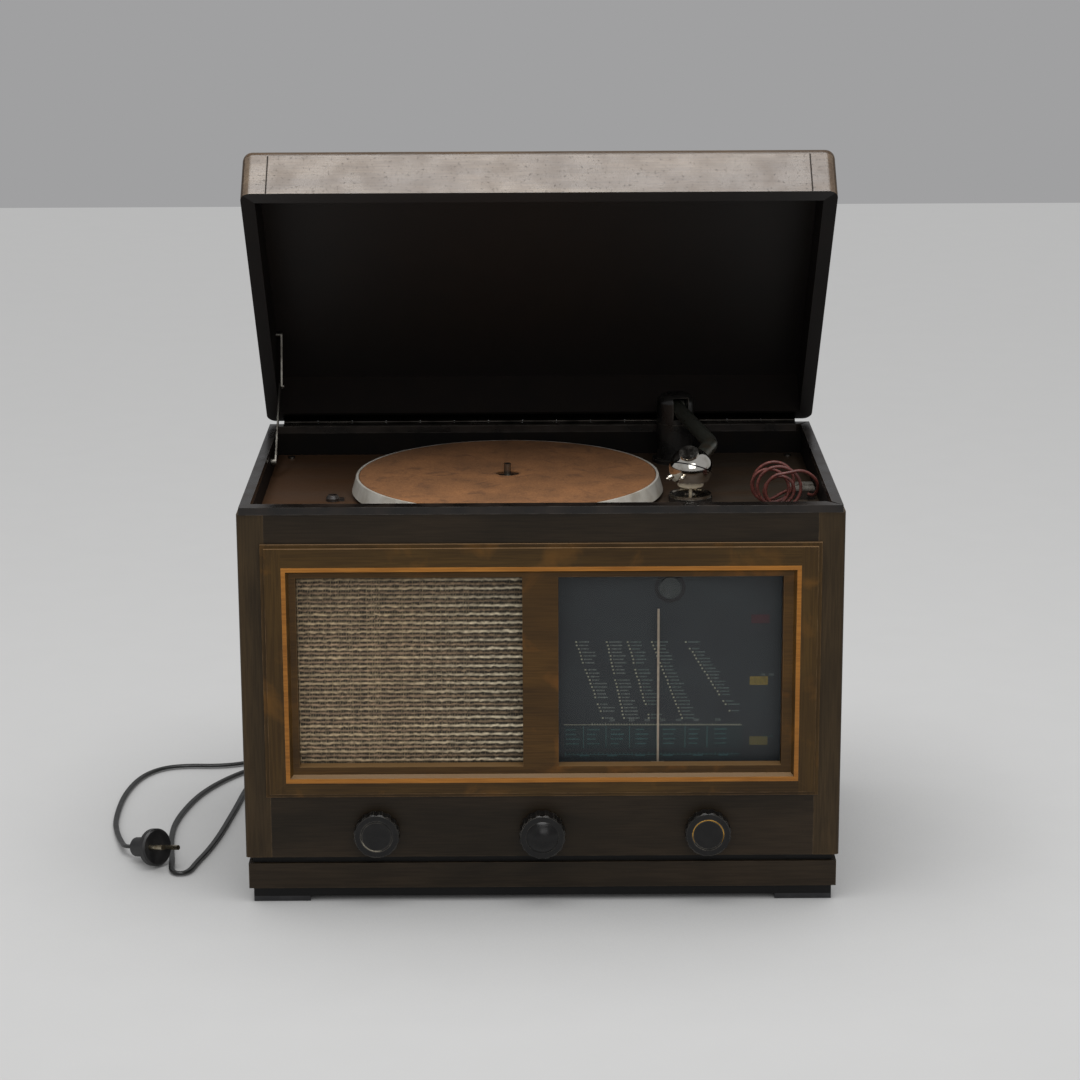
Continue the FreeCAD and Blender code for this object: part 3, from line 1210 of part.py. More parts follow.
def stay():
    """Folding lid stay on the left wall: the lower arm on the cabinet, the upper arm on the lid."""
    thickness = size("stay_thickness")
    lower_x = -size("stay_place") - thickness
    upper_x = -size("stay_place") + size("stay_layer_gap")
    back_y = size("cabinet_depth") - size("origin_setback")
    reach = size("knuckle_radius") + size("running_clearance")
    hinge_z = size("rim_height") + reach
    foot = FreeCAD.Vector(0, size("stay_setback") - size("origin_setback"), size("stay_height"))
    lower_turn = FreeCAD.Rotation(X, size("stay_lower_angle"))
    elbow = foot + lower_turn.multVec(Y) * size("stay_lower_length")
    in_closed_lid = FreeCAD.Vector(0, -size("stay_upper_run"), reach + size("stay_upper_rise"))
    top = FreeCAD.Vector(0, back_y, hinge_z) + lid_pose().multVec(in_closed_lid)
    wall = size("cabinet_width") / 2 - size("side_thickness")
    lower = stay_arm(size("stay_lower_length"), size("stay_width"), thickness)
    stem = wall + size("stay_pin_depth") - size("turning_gap") + lower_x
    lower = lower.fuse(Part.makeCylinder(size("stay_pin_radius"), stem, FreeCAD.Vector(-stem, 0, 0), X))
    shoulder = wall + lower_x - size("turning_gap")
    boss = Part.makeCylinder(size("stay_width") / 2, shoulder, FreeCAD.Vector(-shoulder, 0, 0), X)
    item = shaped("stay_lower_arm", lower.fuse(boss))
    item.Placement = FreeCAD.Placement(foot + X * lower_x, lower_turn)
    node("stay_lower_arm", item)
    reach = elbow - top
    upper = stay_arm(reach.Length, size("stay_upper_width"), thickness)
    lid_wall_x = size("cabinet_width") / 2 - size("lid_wall")
    stem = lid_wall_x + size("stay_pin_depth") - size("turning_gap") + upper_x
    upper = upper.fuse(Part.makeCylinder(size("stay_pin_radius"), stem, FreeCAD.Vector(-stem, 0, 0), X))
    shoulder = lid_wall_x + upper_x - size("turning_gap")
    boss = Part.makeCylinder(size("stay_upper_width") / 2, shoulder, FreeCAD.Vector(-shoulder, 0, 0), X)
    rivet = Part.makeCylinder(size("stay_pin_radius"), thickness,
                              FreeCAD.Vector(thickness, reach.Length, 0), X)
    item = shaped("stay_upper_arm", upper.multiFuse([boss, rivet]))
    item.Placement = FreeCAD.Placement(top + X * upper_x, FreeCAD.Rotation(Y, reach))
    node("stay_upper_arm", item)


# Screws, leads and plug


def screws():
    heads = []
    edge = f"({INSIDE} - screw_inset)"
    for word, x in (("left", f"-{edge}"), ("right", edge)):
        for end, y in (("front", f"{FRONT} + front_thickness + screw_inset"),
                       ("back", f"{BACK} - back_thickness - screw_inset")):
            heads.append(rod(f"deck_screw_{word}_{end}", "screw_radius", "screw_head",
                             (x, y, "deck_height")))
        for level, z in (("low", "base_height + screw_inset / 2"),
                         ("high", f"{BACK_RAIL_LOW} - screw_inset")):
            heads.append(rod(f"cover_screw_{word}_{level}", "screw_radius", "screw_head",
                             (x, BACK_COVER_OUT, z), Y))
    node("screws", several("screws", heads))


# Points along the mains lead's middle line, from the bush to the plug, chosen by hand
MAINS_ROUTE = (
    (-200, 187, 80), (-200, 206, 78), (-204, 222, 64), (-213, 228, 44), (-226, 225, 24), (-243, 217, 9),
    (-262, 207, 3), (-280, 194, 3), (-294, 176, 3), (-303, 152, 3), (-308, 122, 3), (-311, 86, 3),
    (-315, 47, 3), (-321, -8, 3), (-328, -51, 3), (-336, -84, 3), (-341.5, -113.5, 3),
    (-357.5, -113.5, 3), (-360.5, -78, 3), (-366, -38, 3), (-369, -8, 3), (-369.5, 26, 3),
    (-365, 63, 3), (-356, 105, 3), (-343, 139, 3), (-328, 166, 3), (-311, 189, 3), (-289, 211, 3),
    (-260, 228, 3), (-222, 234, 3), (-184, 231, 3), (-154, 238, 3), (-134, 258, 3), (-133, 286, 3),
    (-152, 308, 3), (-183, 312, 3), (-216, 298, 3), (-246, 273, 3), (-272, 248, 3), (-297, 226, 3),
    (-320, 210, 3), (-346, 204, 3), (-375, 206, 3), (-399, 200, 3), (-415, 182, 3), (-425, 155, 3),
    (-431, 115, 3), (-432, 72, 3), (-430, 31, 3), (-426, 8, 3.2), (-421.5, -12, 4.2),
    (-416, -32, 5.6), (-412, -46, 7.2), (-407.8, -56.5, 9.3), (-397.6, -65.6, 12.4),
)


def vectors(points):
    return [FreeCAD.Vector(*point) for point in points]


def mains_lead():
    route = vectors(MAINS_ROUTE)
    bush_end = FreeCAD.Vector(size("bush_place"), size("cabinet_depth") - size("origin_setback")
                              - size("back_cover_setback") + size("bush_length"), size("bush_height"))
    route[0] = bush_end
    radii = corner_radii(route)
    print("mains lead radii:", " ".join(f"{r:.0f}" for r in radii))
    node("mains_lead", shaped("mains_lead", tube_along(route, radii, size("lead_radius"), "mains lead")))
    plug(route[-1], (route[-1] - route[-2]).normalize())


def plug(tail_end, way):
    """A round two-pin plug that lies on the floor, its tail on the lead's end."""
    tail, grip, disc = size("plug_tail_length"), size("plug_grip_length"), size("plug_disc")
    turn = FreeCAD.Rotation(UP, way)
    at = FreeCAD.Placement(tail_end, turn)
    radius, chamfer = size("plug_radius"), size("plug_chamfer")
    sleeve = Part.makeCone(size("plug_tail_radius"), size("plug_tail_front_radius"), tail)
    handle = Part.makeCone(size("plug_grip_back_radius"), size("plug_grip_radius"), grip, UP * tail)
    slant = Part.makeCone(radius - chamfer, radius, chamfer, UP * (tail + grip))
    face = Part.makeCylinder(radius, disc - 2 * chamfer, UP * (tail + grip + chamfer))
    front = Part.makeCone(radius, radius - chamfer, chamfer, UP * (tail + grip + disc - chamfer))
    body = sleeve.multiFuse([handle, slant, face, front])
    item = shaped("plug_body", body.removeSplitter())
    item.Placement = at
    node("plug_body", item)
    level = turn.inverted().multVec(way.cross(UP).normalize())
    level = FreeCAD.Rotation(UP, size("plug_roll")).multVec(level)
    start = tail + grip + disc
    pins = []
    for sign in (-1, 1):
        foot = level * (sign * size("plug_pin_spacing") / 2) + UP * start
        pins.append(Part.makeCylinder(size("plug_pin_radius"), size("plug_pin_length"), foot, UP))
    item = shaped("plug_pins", Part.makeCompound(pins))
    item.Placement = at
    node("plug_pins", item)


# The slack loops of the pick-up lead, chosen by hand: turns, points in each, the loop's radius and how much
# it varies, where the loops stand, their drift and sway across, and their pitch towards the front
PICKUP_TURNS = 4.5
PICKUP_STEPS = 4
LOOP_ROUTE = {"radius": 17, "varies": 3.2, "place": 217, "drift": 2.4, "sway": 2.5, "setback": 126,
              "pitch": 6.5}
PICKUP_END_ROUTE = ((246, -87, 393), (259, -83, 384), (262.5, -76, 372), (260, -66, 362.5))


def pickup_coil_points():
    """Loose upright loops of the pick-up lead that stand on the deck, from the back to the front."""
    rest = size("deck_height") + size("pickup_lead_radius") + size("turning_gap")
    front = -size("origin_setback")
    points = []
    for n in range(int(PICKUP_TURNS * PICKUP_STEPS) + 1):
        turns = n / PICKUP_STEPS
        loop = LOOP_ROUTE["radius"] + LOOP_ROUTE["varies"] * math.sin(2.1 * turns)
        angle = -math.pi / 2 - 2 * math.pi * turns
        sway = LOOP_ROUTE["sway"] * math.sin(3.3 * turns)
        middle = LOOP_ROUTE["place"] + LOOP_ROUTE["drift"] * turns + sway
        points.append(FreeCAD.Vector(middle + loop * math.cos(angle),
                                     front + LOOP_ROUTE["setback"] - LOOP_ROUTE["pitch"] * turns,
                                     rest + loop * (1 + math.sin(angle))))
    return points


def biarc(start, start_way, end, end_way):
    """Two tangent arcs from one point and direction to another."""
    span = end - start
    both = start_way + end_way
    square = 2 * (1 - start_way.dot(end_way))
    across = span.dot(both)
    if square > 1e-9:
        leg = (-across + math.sqrt(across ** 2 + square * span.dot(span))) / square
    else:
        leg = span.dot(span) / (4 * span.dot(end_way))
    first, last = start + start_way * leg, end - end_way * leg
    join = (first + last) * 0.5
    edges = []
    for a, corner, b in ((start, first, join), (join, last, end)):
        turn = (corner - a).getAngle(b - corner)
        weight = math.cos(turn / 2)
        middle = (a + corner * (2 * weight) + b) * (1 / (2 + 2 * weight))
        edges.append(Part.Arc(a, middle, b).toShape())
    return edges


def least_gap(spine, tube_radius):
    """The least distance between two stretches of one tube, less its diameter, from points along it."""
    spots = spine.discretize(Distance=tube_radius)
    apart = 8
    closest = min((a - b).Length for i, a in enumerate(spots) for b in spots[i + apart:])
    return closest - 2 * tube_radius


def pickup_lead():
    """The slack lead of the pick-up: from the terminal block's side, in loops, and into its front."""
    radius = size("pickup_lead_radius")
    block_y = size("block_setback") - size("origin_setback")
    left_face = size("block_place") - size("block_width") / 2
    front_face = block_y - size("block_depth") / 2
    mid_height = size("deck_height") + size("block_height") / 2
    start = FreeCAD.Vector(left_face, block_y, mid_height)
    end = FreeCAD.Vector(size("block_place") + size("block_width") / 4, front_face, mid_height)
    coil = pickup_coil_points()
    points = [start, start - X * (2 * radius), *coil, *vectors(PICKUP_END_ROUTE), end - Y * (2 * radius),
              end]
    ways = []
    for i, point in enumerate(points):
        before, after = points[max(i - 1, 0)], points[min(i + 1, len(points) - 1)]
        ways.append((after - before).normalize())
    ways[0] = ways[1] = -X
    ways[2] = FreeCAD.Vector(ways[2].x, ways[2].y, 0).normalize()
    ways[-1] = ways[-2] = Y
    edges = [Part.LineSegment(points[0], points[1]).toShape()]
    for i in range(1, len(points) - 2):
        edges += biarc(points[i], ways[i], points[i + 1], ways[i + 1])
    edges.append(Part.LineSegment(points[-2], points[-1]).toShape())
    spine = Part.Wire(edges)
    ring = Part.Wire(Part.makeCircle(radius, points[0], ways[0]))
    tube = spine.makePipeShell([ring], True, False)
    tightest = min(edge.Curve.Radius for edge in edges[1:-1])
    expected = math.pi * radius ** 2 * spine.Length
    print(f"pick-up lead: length {spine.Length:.1f},"
          f" volume {tube.Volume / expected:.4f} of section times length,"
          f" least radius {tightest:.1f}, least gap {least_gap(spine, radius):.2f}")
    lowest = min(spot.z for spot in spine.discretize(Distance=radius)) - radius
    print(f"pick-up lead clears the deck by {lowest - size('deck_height'):.2f}")
    node("pickup_lead", shaped("pickup_lead", tube))


def check_and_write():
    document.recompute()
    for item in document.Objects:
        if "Invalid" in item.State or "Error" in item.State:
            raise RuntimeError(f"{item.Label} failed: {item.State}")
    for item in sub_parts:
        if item.Shape.isNull() or not item.Shape.isValid() or not item.Shape.Solids:
            raise RuntimeError(f"{item.Label} has no valid solid")
    os.makedirs("parts", exist_ok=True)
    for item in sub_parts:
        item.Shape.exportStep(f"parts/{item.Label}.step")
    whole = Part.makeCompound([item.Shape for item in sub_parts]).BoundBox
    print(f"{len(sub_parts)} sub-parts, {whole.XLength:.1f} x {whole.YLength:.1f} x {whole.ZLength:.1f} mm")


base()
carcass()
fascia()
back()
loudspeaker()
dial()
shell = receiver()
tuning_gang()
controls(shell)
turntable()
deck_fittings()
tone_arm()
lid()
hinge()
stay()
screws()
mains_lead()
pickup_lead()
check_and_write()
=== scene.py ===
"""The looks of a walnut table radiogram with its lid open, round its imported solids."""
import math

import bpy
import numpy as np
from mathutils import Matrix, Vector


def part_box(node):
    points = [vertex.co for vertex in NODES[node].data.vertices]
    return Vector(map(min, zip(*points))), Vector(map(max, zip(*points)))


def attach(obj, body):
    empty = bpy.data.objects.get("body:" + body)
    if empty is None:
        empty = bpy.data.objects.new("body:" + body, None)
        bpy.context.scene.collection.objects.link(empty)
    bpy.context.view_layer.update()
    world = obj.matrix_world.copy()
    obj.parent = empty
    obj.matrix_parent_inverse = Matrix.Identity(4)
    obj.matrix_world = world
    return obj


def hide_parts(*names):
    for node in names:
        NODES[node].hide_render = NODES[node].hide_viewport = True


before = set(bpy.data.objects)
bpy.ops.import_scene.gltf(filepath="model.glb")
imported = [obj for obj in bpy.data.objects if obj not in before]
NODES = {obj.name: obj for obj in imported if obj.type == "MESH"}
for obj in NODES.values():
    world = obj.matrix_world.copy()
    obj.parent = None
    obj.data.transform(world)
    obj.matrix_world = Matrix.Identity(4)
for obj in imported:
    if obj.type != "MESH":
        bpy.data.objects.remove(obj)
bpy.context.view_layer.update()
MM = 0.001

# Places that several finishes and pieces share, in millimetres, and how far the lid stands open, in degrees
INSIDE_WALL = 265.5
DECK, DECK_SIDE = 354.0, 265.0
HINGE = (0.0, 165.0, 385.16)
LID_ANGLE = 49.5
LID_SIDE, LID_WALL, LID_DEPTH, LID_HOLLOW, LID_EDGE = 264.5, 13.0, 348.6, 48.36, 1.9
FRAME_STILE = 238.0
PLATTER = (-31.6, -11.0)
HEAD = (143.0, -49.0, 385.6)
KNOB_PLACE, KNOB_HEIGHT, KNOB_FACE = 154.3, 70.8, -200.0
DIAL_FACE = -160.5
# How far past a face its finish reaches
SKIN = 0.2


# The camera stands where the photograph was taken from: its place and lens in millimetres, its turn in degrees

CAMERA_AT = (-7.871, -2855.146, 1051.17)
CAMERA_TURN = (14.6839, 0.1476, -0.2576)
SENSOR, LENS = 36.0, 100.977


def stand_camera():
    pitch, yaw, roll = (math.radians(angle) for angle in CAMERA_TURN)
    ahead = Vector((math.sin(yaw) * math.cos(pitch), math.cos(yaw) * math.cos(pitch), -math.sin(pitch)))
    level = Vector((math.cos(yaw), -math.sin(yaw), 0))
    upright = level.cross(ahead)
    across = math.cos(roll) * level + math.sin(roll) * upright
    over = math.cos(roll) * upright - math.sin(roll) * level
    data = bpy.data.cameras.new("photo_camera")
    data.sensor_width = SENSOR
    data.lens = LENS
    data.clip_end = 50.0
    camera = bpy.data.objects.new("photo_camera", data)
    bpy.context.scene.collection.objects.link(camera)
    turned = Matrix((across, over, -ahead)).transposed().to_4x4()
    camera.matrix_world = Matrix.Translation(Vector(CAMERA_AT) * MM) @ turned
    bpy.context.scene.camera = camera


stand_camera()


# Colours, shader nodes and patterns


def linear(colour):
    """An sRGB hex colour as the linear one that a socket takes."""
    parts = [int(colour[i:i + 2], 16) / 255 for i in (0, 2, 4)]
    return [c / 12.92 if c <= 0.04045 else ((c + 0.055) / 1.055) ** 2.4 for c in parts] + [1.0]


def add(tree, kind, inputs=(), out=0, stops=(), **settings):
    """Adds a shader node and gives one of its outputs, or a slice of them.

    Inputs are numbers, hex colours or other nodes' outputs, and stops are a ramp's places and colours. By number, a
    MapRange reads 1 to 2 and gives 3 to 4, and a Mix goes from 6 to 7 in colour, or from 2 to 3 in value."""
    made = tree.nodes.new("ShaderNode" + kind)
    for key, value in settings.items():
        setattr(made, key, value)
    for key, value in dict(inputs).items():
        if isinstance(value, bpy.types.NodeSocket):
            tree.links.new(value, made.inputs[key])
        else:
            made.inputs[key].default_value = linear(value) if isinstance(value, str) else value
    for n, (at, colour) in enumerate(stops):
        stop = made.color_ramp.elements[n] if n < 2 else made.color_ramp.elements.new(at)
        stop.position = at
        stop.color = linear(colour)
    return made.outputs[out]


def finish(name, **sockets):
    """A new material, its node tree and its main shader, with plain values set on the shader's own sockets."""
    material = bpy.data.materials.new(name)
    material.use_nodes = True
    shader = material.node_tree.nodes["Principled BSDF"]
    for key, value in sockets.items():
        shader.inputs[key.replace("_", " ")].default_value = value
    return material, material.node_tree, shader


def wire(tree, shader, **outputs):
    """Links outputs to the shader's sockets of those names."""
    for key, output in outputs.items():
        tree.links.new(output, shader.inputs[key.replace("_", " ")])


def grain(tree, way, wide, long, detail, twist=0.0):
    """A noise as wide as said, drawn out along X, Y or Z, from real sizes in millimetres.

    Pores, nap, fibres and grit are finer than this in fact, and are drawn about 1 mm coarse so that they show."""
    place = add(tree, "TexCoord", out="Object")
    scale = [1 / ((long if axis == way else wide) * MM) for axis in "XYZ"]
    drawn = add(tree, "Mapping", {"Vector": place, "Scale": scale})
    return add(tree, "TexNoise", {"Vector": drawn, "Scale": 1.0, "Detail": detail, "Distortion": twist})


def edge_wear(tree, wide, amount):
    """Where a hand or cloth has rubbed the edges: strongest on the arris, broken up along it."""
    eased = add(tree, "Bevel", {"Radius": wide * MM}, samples=6)
    face = add(tree, "NewGeometry", out="Normal")
    turn = add(tree, "VectorMath", {0: eased, 1: face}, "Value", operation="DOT_PRODUCT")
    edge = add(tree, "MapRange", {0: turn, 1: 0.995, 2: 0.80, 3: 0.0, 4: amount})
    broken = add(tree, "MapRange", {0: grain(tree, "", 14, 14, 5), 1: 0.38, 2: 0.62, 3: 0.1, 4: 1.0})
    return add(tree, "Math", {0: edge, 1: broken}, operation="MULTIPLY")


def place_of(tree, shift=(0, 0, 0), turn=0.0):
    """The surface's place in millimetres about a point, turned back by the lid's angle if asked, as X, Y and Z."""
    place = add(tree, "TexCoord", out="Object")
    matrix = Matrix.Rotation(math.radians(turn), 3, "X")
    moved = add(tree, "Mapping", {"Vector": place, "Scale": [1 / MM] * 3, "Rotation": (math.radians(turn), 0, 0),
                                  "Location": -(matrix @ Vector(shift))})
    return add(tree, "SeparateXYZ", {0: moved}, slice(0, 3))


# Where a board's finish changes from its polished outside to its stained inside


def inside_lid(tree):
    """1 on the lid's inner faces and on the edge that closes on the rim."""
    x, y, z = place_of(tree, HINGE, LID_ANGLE)
    side = add(tree, "Math", {0: x}, operation="ABSOLUTE")
    share = 1.0
    for value, limit, kind in ((side, LID_SIDE + SKIN, "LESS_THAN"), (z, LID_HOLLOW + SKIN, "LESS_THAN"),
                               (y, LID_WALL - LID_DEPTH - SKIN, "GREATER_THAN"), (y, SKIN - LID_WALL, "LESS_THAN")):
        within = add(tree, "Math", {0: value, 1: limit}, operation=kind)
        share = add(tree, "Math", {0: share, 1: within}, operation="MULTIPLY")
    rim = add(tree, "Math", {0: z, 1: LID_EDGE}, operation="LESS_THAN")
    return add(tree, "Math", {0: share, 1: rim}, operation="MAXIMUM")


def inside_cabinet(tree):
    """1 on the inner faces of the cabinet's side boards."""
    side = add(tree, "Math", {0: place_of(tree)[0]}, operation="ABSOLUTE")
    return add(tree, "Math", {0: side, 1: INSIDE_WALL + SKIN}, operation="LESS_THAN")


# Finishes that several pieces share

# How long the wood's figure runs, and its pores' width, length and detail
FIGURE_LENGTH, PORES = 190, (1.5, 40, 3)


def timber(name, way, pale, dark, rubbed, gloss=(0.34, 0.50), wear=0.35, figure=34.0, patch=70.0, level=0.2,
           amber=None, top_lit_colour=None, stained=None, lines=(), specks=0.0):
    """Walnut veneer under old brown varnish: soft clouds of figure and faint pores, patches where the varnish has
    dulled, and edges rubbed back to paler wood. amber is the colour of patches where the varnish is thin, the
    parameter after it a paler colour that faces looking up take as painted light from above, stained says where it is
    stained black instead, lines where joints show, and specks how dark the pits in the varnish are."""
    material, tree, shader = finish(name, IOR=1.5, Specular_IOR_Level=level)
    side = add(tree, "Math", {0: place_of(tree)[0]}, operation="ABSOLUTE")
    if way == "frame":
        upright = add(tree, "Math", {0: side, 1: FRAME_STILE}, operation="GREATER_THAN")
        figured, pores = (add(tree, "Mix", {0: upright, 2: grain(tree, "X", *sizes), 3: grain(tree, "Z", *sizes)})
                          for sizes in ((figure, FIGURE_LENGTH, 4), PORES))
    else:
        figured, pores = grain(tree, way, figure, FIGURE_LENGTH, 4, 0.6), grain(tree, way, *PORES)
    patina = grain(tree, "", patch, patch, 6)
    wood = add(tree, "ValToRGB", {0: figured}, stops=[(0.34, dark), (0.66, pale)])
    lined = add(tree, "ValToRGB", {0: pores}, stops=[(0.40, "c9c3bb"), (0.58, "ffffff")])
    wood = add(tree, "Mix", {0: 0.6, 6: wood, 7: lined}, 2, data_type="RGBA", blend_type="MULTIPLY")
    dulled = add(tree, "MapRange", {0: patina, 1: 0.48, 2: 0.72, 3: 0.0, 4: 0.5})
    wood = add(tree, "Mix", {0: dulled, 6: wood, 7: dark}, 2, data_type="RGBA")
    if amber:
        thin = add(tree, "MapRange", {0: grain(tree, "", 38, 38, 5, 0.5), 1: 0.56, 2: 0.74, 3: 0.0, 4: 0.8})
        wood = add(tree, "Mix", {0: thin, 6: wood, 7: amber}, 2, data_type="RGBA")
    # Faces that look up are mixed towards a paler colour: painted light from above.
    if top_lit_colour:
        facing = add(tree, "SeparateXYZ", {0: add(tree, "NewGeometry", out="Normal")}, 2)
        top_lit_share = add(tree, "MapRange", {0: facing, 1: 0.2, 2: 0.7, 3: 0.0, 4: 0.85})
        wood = add(tree, "Mix", {0: top_lit_share, 6: wood, 7: top_lit_colour}, 2, data_type="RGBA")
    colour = add(tree, "Mix", {0: edge_wear(tree, 1.4, wear), 6: wood, 7: rubbed}, 2, data_type="RGBA")
    rough = add(tree, "MapRange", {0: patina, 1: 0.35, 2: 0.68, 3: gloss[0], 4: gloss[1]})
    if specks:
        pits = add(tree, "MapRange", {0: grain(tree, "", 2.6, 2.6, 4), 1: 0.60, 2: 0.70, 3: 0.0, 4: specks})
        colour = add(tree, "Mix", {0: pits, 6: colour, 7: "1a1410"}, 2, data_type="RGBA")
        rough = add(tree, "Mix", {0: pits, 2: rough, 3: 0.7})
    for at in lines:
        off = add(tree, "Math", {0: add(tree, "Math", {0: side, 1: at}, operation="SUBTRACT")}, operation="ABSOLUTE")
        joint = add(tree, "MapRange", {0: off, 1: 0.4, 2: 0.9, 3: 0.9, 4: 0.0})
        colour = add(tree, "Mix", {0: joint, 6: colour, 7: "0e0b09"}, 2, data_type="RGBA")
        rough = add(tree, "Mix", {0: joint, 2: rough, 3: 1.0})
    if stained:
        share = stained(tree)
        soot = add(tree, "Mix", {0: grain(tree, "", 30, 30, 5), 6: "070504", 7: "130c08"}, 2, data_type="RGBA")
        colour = add(tree, "Mix", {0: share, 6: colour, 7: soot}, 2, data_type="RGBA")
        rough = add(tree, "Mix", {0: share, 2: rough, 3: 0.62})
    relief = add(tree, "Bump", {"Height": pores, "Distance": 0.05 * MM, "Strength": 0.25})
    wire(tree, shader, Base_Color=colour, Roughness=rough, Normal=relief)
    return material


def lacquer(name, body, haze, rubbed, rough=(0.32, 0.5), wear=0.6, level=0.5):
    """Brushed black lacquer or enamel: nearly black, a grey haze of dust, rubbed on the edges."""
    material, tree, shader = finish(name, IOR=1.48, Specular_IOR_Level=level)
    dust = grain(tree, "", 24, 24, 6)
    hazy = add(tree, "MapRange", {0: dust, 1: 0.42, 2: 0.70, 3: 0.0, 4: 1.0})
    colour = add(tree, "Mix", {0: hazy, 6: body, 7: haze}, 2, data_type="RGBA")
    colour = add(tree, "Mix", {0: edge_wear(tree, 1.2, wear), 6: colour, 7: rubbed}, 2, data_type="RGBA")
    gloss = add(tree, "MapRange", {0: dust, 1: 0.3, 2: 0.7, 3: rough[0], 4: rough[1]})
    relief = add(tree, "Bump", {"Height": grain(tree, "", 2.2, 2.2, 3), "Distance": 0.03 * MM, "Strength": 0.3})
    wire(tree, shader, Base_Color=colour, Roughness=gloss, Normal=relief)
    return material


def plate(name, bright, tarnish, rough=(0.14, 0.34), spots=18.0, share=0.75, metal=1.0):
    """Polished metal or nickel plate gone dull: bright where it is handled, brown-grey in cloudy patches."""
    material, tree, shader = finish(name, Metallic=metal)
    cloud = grain(tree, "", spots, spots, 7)
    dull = add(tree, "MapRange", {0: cloud, 1: 0.44, 2: 0.66, 3: 0.0, 4: share})
    colour = add(tree, "Mix", {0: dull, 6: bright, 7: tarnish}, 2, data_type="RGBA")
    gloss = add(tree, "MapRange", {0: cloud, 1: 0.35, 2: 0.68, 3: rough[0], 4: rough[1]})
    relief = add(tree, "Bump", {"Height": grain(tree, "", 0.9, 0.9, 4), "Distance": 0.02 * MM, "Strength": 0.25})
    wire(tree, shader, Base_Color=colour, Roughness=gloss, Normal=relief)
    return material


def moulding(name, body, haze, rubbed, rough=(0.24, 0.46), wear=0.55, ior=1.55, level=0.5):
    """Black phenolic or rubber moulding: deep gloss under fine dust, greyed on the edges that fingers hold."""
    material, tree, shader = finish(name, IOR=ior, Specular_IOR_Level=level)
    dust = grain(tree, "", 9, 9, 6)
    hazy = add(tree, "MapRange", {0: dust, 1: 0.45, 2: 0.75, 3: 0.0, 4: 0.8})
    colour = add(tree, "Mix", {0: hazy, 6: body, 7: haze}, 2, data_type="RGBA")
    colour = add(tree, "Mix", {0: edge_wear(tree, 0.9, wear), 6: colour, 7: rubbed}, 2, data_type="RGBA")
    gloss = add(tree, "MapRange", {0: dust, 1: 0.3, 2: 0.7, 3: rough[0], 4: rough[1]})
    relief = add(tree, "Bump", {"Height": grain(tree, "", 0.8, 0.8, 3), "Distance": 0.02 * MM, "Strength": 0.2})
    wire(tree, shader, Base_Color=colour, Roughness=gloss, Normal=relief)
    return material


def plain_stock(name, pale, dark, wide, rough, deep=0.05):
    """Raw board, fibre sheet, paper or paint: a matt two-tone mottle at the size of its fibres."""
    material, tree, shader = finish(name, Roughness=rough)
    fibre = grain(tree, "", wide, wide, 6)
    cloud = add(tree, "MapRange", {0: grain(tree, "", wide * 14, wide * 14, 4), 1: 0.45, 2: 0.75, 3: 0.0, 4: 0.5})
    colour = add(tree, "ValToRGB", {0: fibre}, stops=[(0.34, dark), (0.66, pale)])
    colour = add(tree, "Mix", {0: cloud, 6: colour, 7: dark}, 2, data_type="RGBA")
    relief = add(tree, "Bump", {"Height": fibre, "Distance": deep * MM, "Strength": 0.4})
    wire(tree, shader, Base_Color=colour, Normal=relief)
    return material


def dress(material, *names):
    """Gives solids a finish, in the slots they have."""
    for name in names:
        slots = NODES[name].material_slots
        if not slots:
            NODES[name].data.materials.append(material)
        for slot in slots:
            slot.material = material


# Making pieces


def piece(name, points, faces, material, body, smooth=True):
    """A mesh in the row frame from points in metres, riding on a body."""
    mesh = bpy.data.meshes.new(name)
    mesh.from_pydata([tuple(p) for p in points], [], [tuple(f) for f in faces])
    mesh.polygons.foreach_set("use_smooth", [smooth] * len(mesh.polygons))
    mesh.materials.append(material)
    made = bpy.data.objects.new(name, mesh)
    bpy.context.scene.collection.objects.link(made)
    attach(made, body)
    return made


def rings(count, size):
    """Faces between count rings of size points each, one ring after another."""
    faces = []
    for n in range(count - 1):
        for i in range(size):
            a, b = n * size + i, n * size + (i + 1) % size
            faces.append((a, b, b + size, a + size))
    return faces


def capped(count, size):
    """The same, with a face over the first ring and one over the last."""
    last = (count - 1) * size
    return [*rings(count, size), tuple(range(size))[::-1], tuple(range(last, last + size))]


def smooth_noise(seed, length, knots):
    """Random values joined by straight runs, the same ones each time, about -1 to 1."""
    random = np.random.default_rng(seed)
    return np.interp(np.linspace(0, knots - 1, length), np.arange(knots), random.uniform(-1, 1, knots))


# The two leads


def spline(name, points):
    """A smooth line with these points, in millimetres, as its control points."""
    curve = bpy.data.curves.new(name, "CURVE")
    curve.dimensions = "3D"
    curve.resolution_u = 8
    run = curve.splines.new("NURBS")
    run.points.add(len(points) - 1)
    for point, at in zip(run.points, points):
        point.co = (*(Vector(at) * MM), 1)
    run.order_u = 3
    run.use_endpoint_u = True
    return curve


